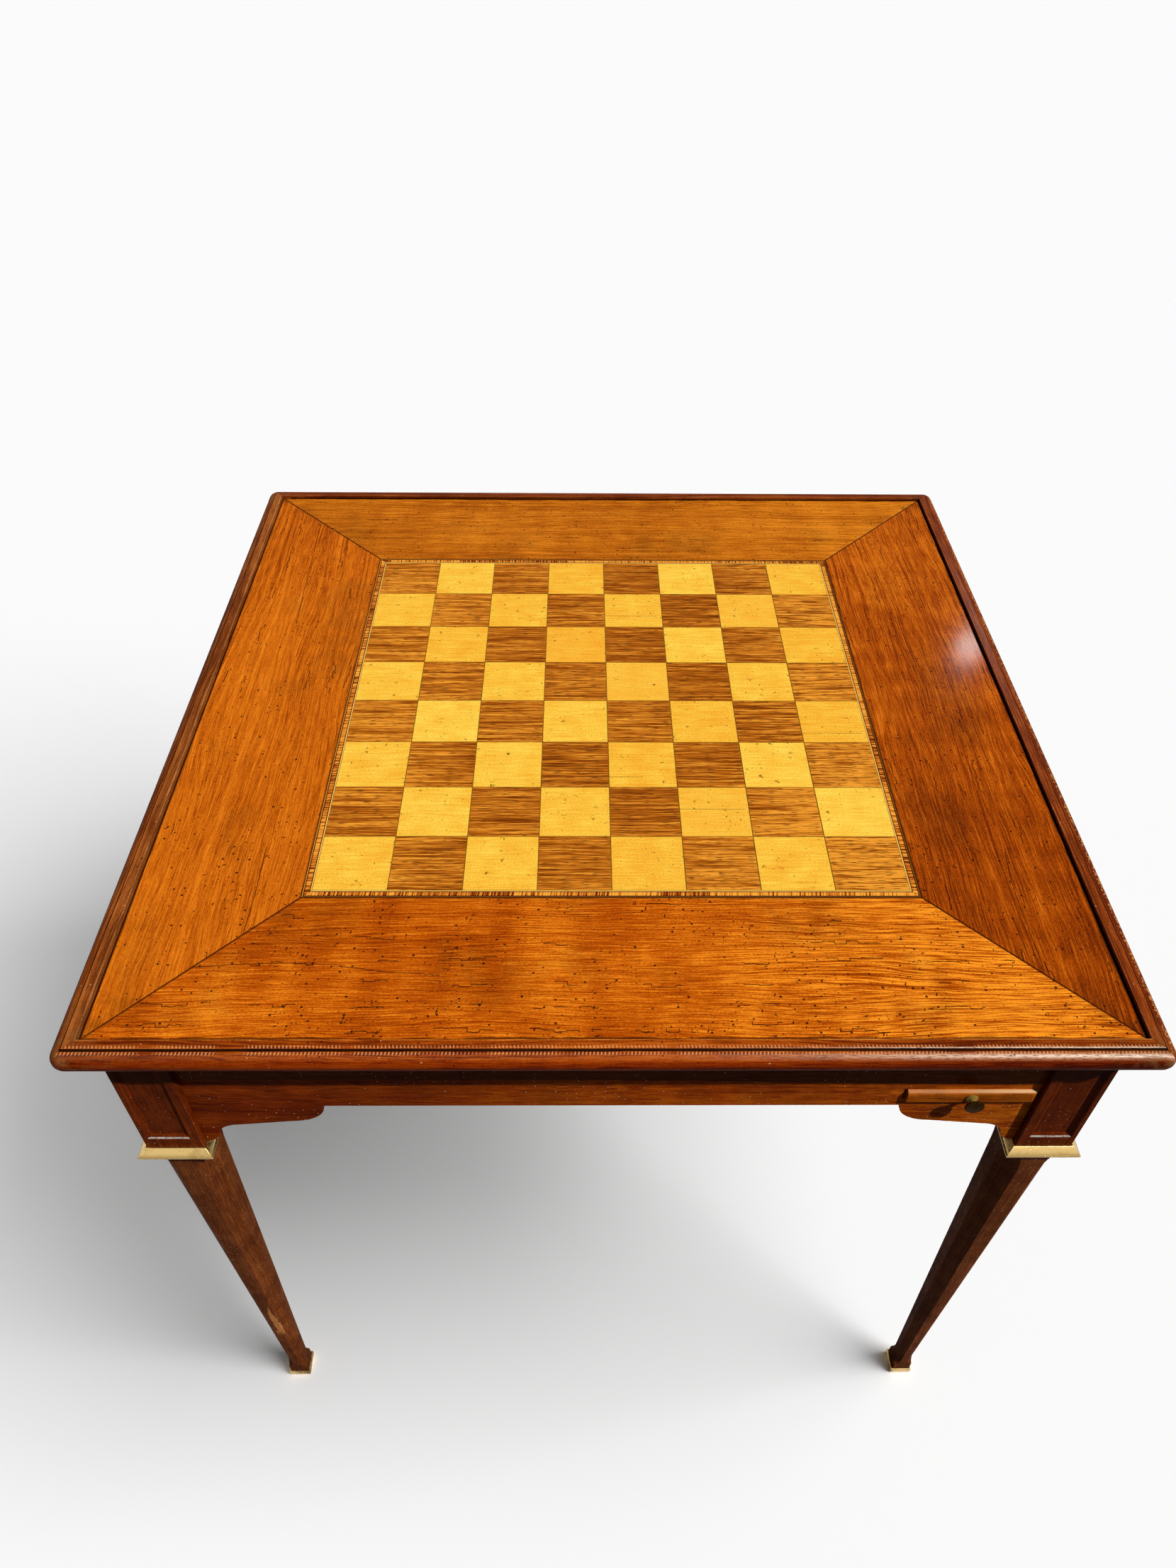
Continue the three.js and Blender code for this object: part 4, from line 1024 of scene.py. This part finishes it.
def cloth_mesh():
    """A closed sheet: a slightly uneven face, a flat glued back, and a rim that joins them."""
    side = CLOTH_CELLS + 1
    face = grid_points(lambda x, y: CLOTH_UNDER + cloth_height(x, y))
    back = grid_points(lambda x, y: CLOTH_UNDER + CLOTH_THICK)
    count = len(face)
    quads = []
    for row in range(CLOTH_CELLS):
        for column in range(CLOTH_CELLS):
            a = row * side + column
            b, c, d = a + 1, a + side + 1, a + side
            quads += [(a, d, c, b), (a + count, b + count, c + count, d + count)]
    south = list(range(CLOTH_CELLS))
    east = [i * side + CLOTH_CELLS for i in south]
    north = [CLOTH_CELLS * side + CLOTH_CELLS - i for i in south]
    west = [(CLOTH_CELLS - i) * side for i in south]
    loop = south + east + north + west
    for a, b in zip(loop, loop[1:] + loop[:1]):
        quads.append((a, b, b + count, a + count))
    mesh = bpy.data.meshes.new("baize_cloth")
    mesh.from_pydata(face + back, [], quads)
    mesh.validate()
    return mesh

def baize_finish():
    material = begin("baize_green")
    where = place()
    wool = noise(where / (0.9 * MM), 3, 0.7)
    lie = noise(where / (0.006, 0.0012, 0.006) + 4, 2)
    worn = smooth(noise(where / 0.09, 2), 0.5, 0.7)
    colour = ramp(0.6 * wool + 0.4 * lie, (0.3, (0.012, 0.060, 0.022)),
                  (0.5, (0.022, 0.105, 0.040)), (0.7, (0.045, 0.160, 0.066)))
    colour = blend(colour, (0.07, 0.15, 0.06), 0.4 * worn)
    return end(material, colour, 0.95, wool, 0.4 * MM, Sheen_Weight=0.25, Sheen_Roughness=0.4)

cloth = put_in_scene("baize_cloth", cloth_mesh())
cloth.data.materials.append(baize_finish())
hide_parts("baize")
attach(cloth, "lift_off_top")
print("cloth", len(cloth.data.polygons), "faces")

# %% [markdown]
# ## Soft edges
# Planed and scraped edges are never knife sharp: they catch a thin line of light. The construction
# stays as it is, and each piece gets modifiers on top. They join the corners that the file keeps
# apart, remove the lines across flat faces, round the edges by a fraction of a millimetre, choose
# the edges to shade softly, and keep large faces level so that their gloss isn't bent. The aprons
# keep the lines across their faces, or the arches of their lower edges would be bridged over.

# %% Modifiers for the edges
def shading_by_angle(limit):
    """Soft shading over every edge that bends less than the limit."""
    group = bpy.data.node_groups.new("soft_below_%d" % limit, "GeometryNodeTree")
    for way in ("INPUT", "OUTPUT"):
        group.interface.new_socket("Geometry", in_out=way, socket_type="NodeSocketGeometry")
    start, faces, edges, angle, over, stop = (group.nodes.new(kind) for kind in (
        "NodeGroupInput", "GeometryNodeSetShadeSmooth", "GeometryNodeSetShadeSmooth",
        "GeometryNodeInputMeshEdgeAngle", "FunctionNodeCompare", "NodeGroupOutput"))
    edges.domain = "EDGE"
    edges.inputs["Shade Smooth"].default_value = False
    over.operation = "GREATER_THAN"
    over.inputs[1].default_value = math.radians(limit)
    for source, target in (
            (start.outputs[0], faces.inputs["Geometry"]),
            (faces.outputs[0], edges.inputs["Geometry"]),
            (angle.outputs["Unsigned Angle"], over.inputs[0]),
            (over.outputs[0], edges.inputs["Selection"]),
            (edges.outputs[0], stop.inputs[0])):
        group.links.new(source, target)
    return group

SOFT_WOOD = shading_by_angle(32)
SOFT_BRASS = shading_by_angle(48)

def soften(piece, width, shading, whole):
    """Rounds the edges of a piece by width, or only shades it softly where width is 0."""
    for stale in ("custom_normal", "sharp_edge", "sharp_face"):
        if stale in piece.data.attributes:
            piece.data.attributes.remove(piece.data.attributes[stale])
    weld = piece.modifiers.new("joined_corners", "WELD")
    weld.merge_threshold = 0.01 * MM
    if width:
        if whole:
            flat = piece.modifiers.new("whole_faces", "DECIMATE")
            flat.decimate_type, flat.angle_limit = "DISSOLVE", math.radians(0.5)
        bevel = piece.modifiers.new("eased_edges", "BEVEL")
        bevel.width, bevel.segments = width, 2
        bevel.limit_method, bevel.angle_limit = "ANGLE", math.radians(28)
    shade = piece.modifiers.new("soft_shading", "NODES")
    shade.node_group = shading
    level = piece.modifiers.new("level_faces", "WEIGHTED_NORMAL")
    level.keep_sharp = True

EASING_MM = {
    "apron": 0.6, "rim": 0.35, "leg": 0.5, "slide_cradle": 0.6, "slide": 0.4, "top_border": 0.15,
    "lining": 0.3, "ledger": 0.6, "well": 0.4, "partition": 0.4, "collar": 0.2, "sabot": 0.15,
}
for name, piece in nodes.items():
    kind = max((start for start in EASING_MM if name.startswith(start)), key=len, default="")
    metal = name.startswith(("collar", "sabot", "knob"))
    width = EASING_MM.get(kind, 0) * MM
    soften(piece, width, SOFT_BRASS if metal else SOFT_WOOD, kind != "apron")
print(len(EASING_MM), "kinds of rounded edge")
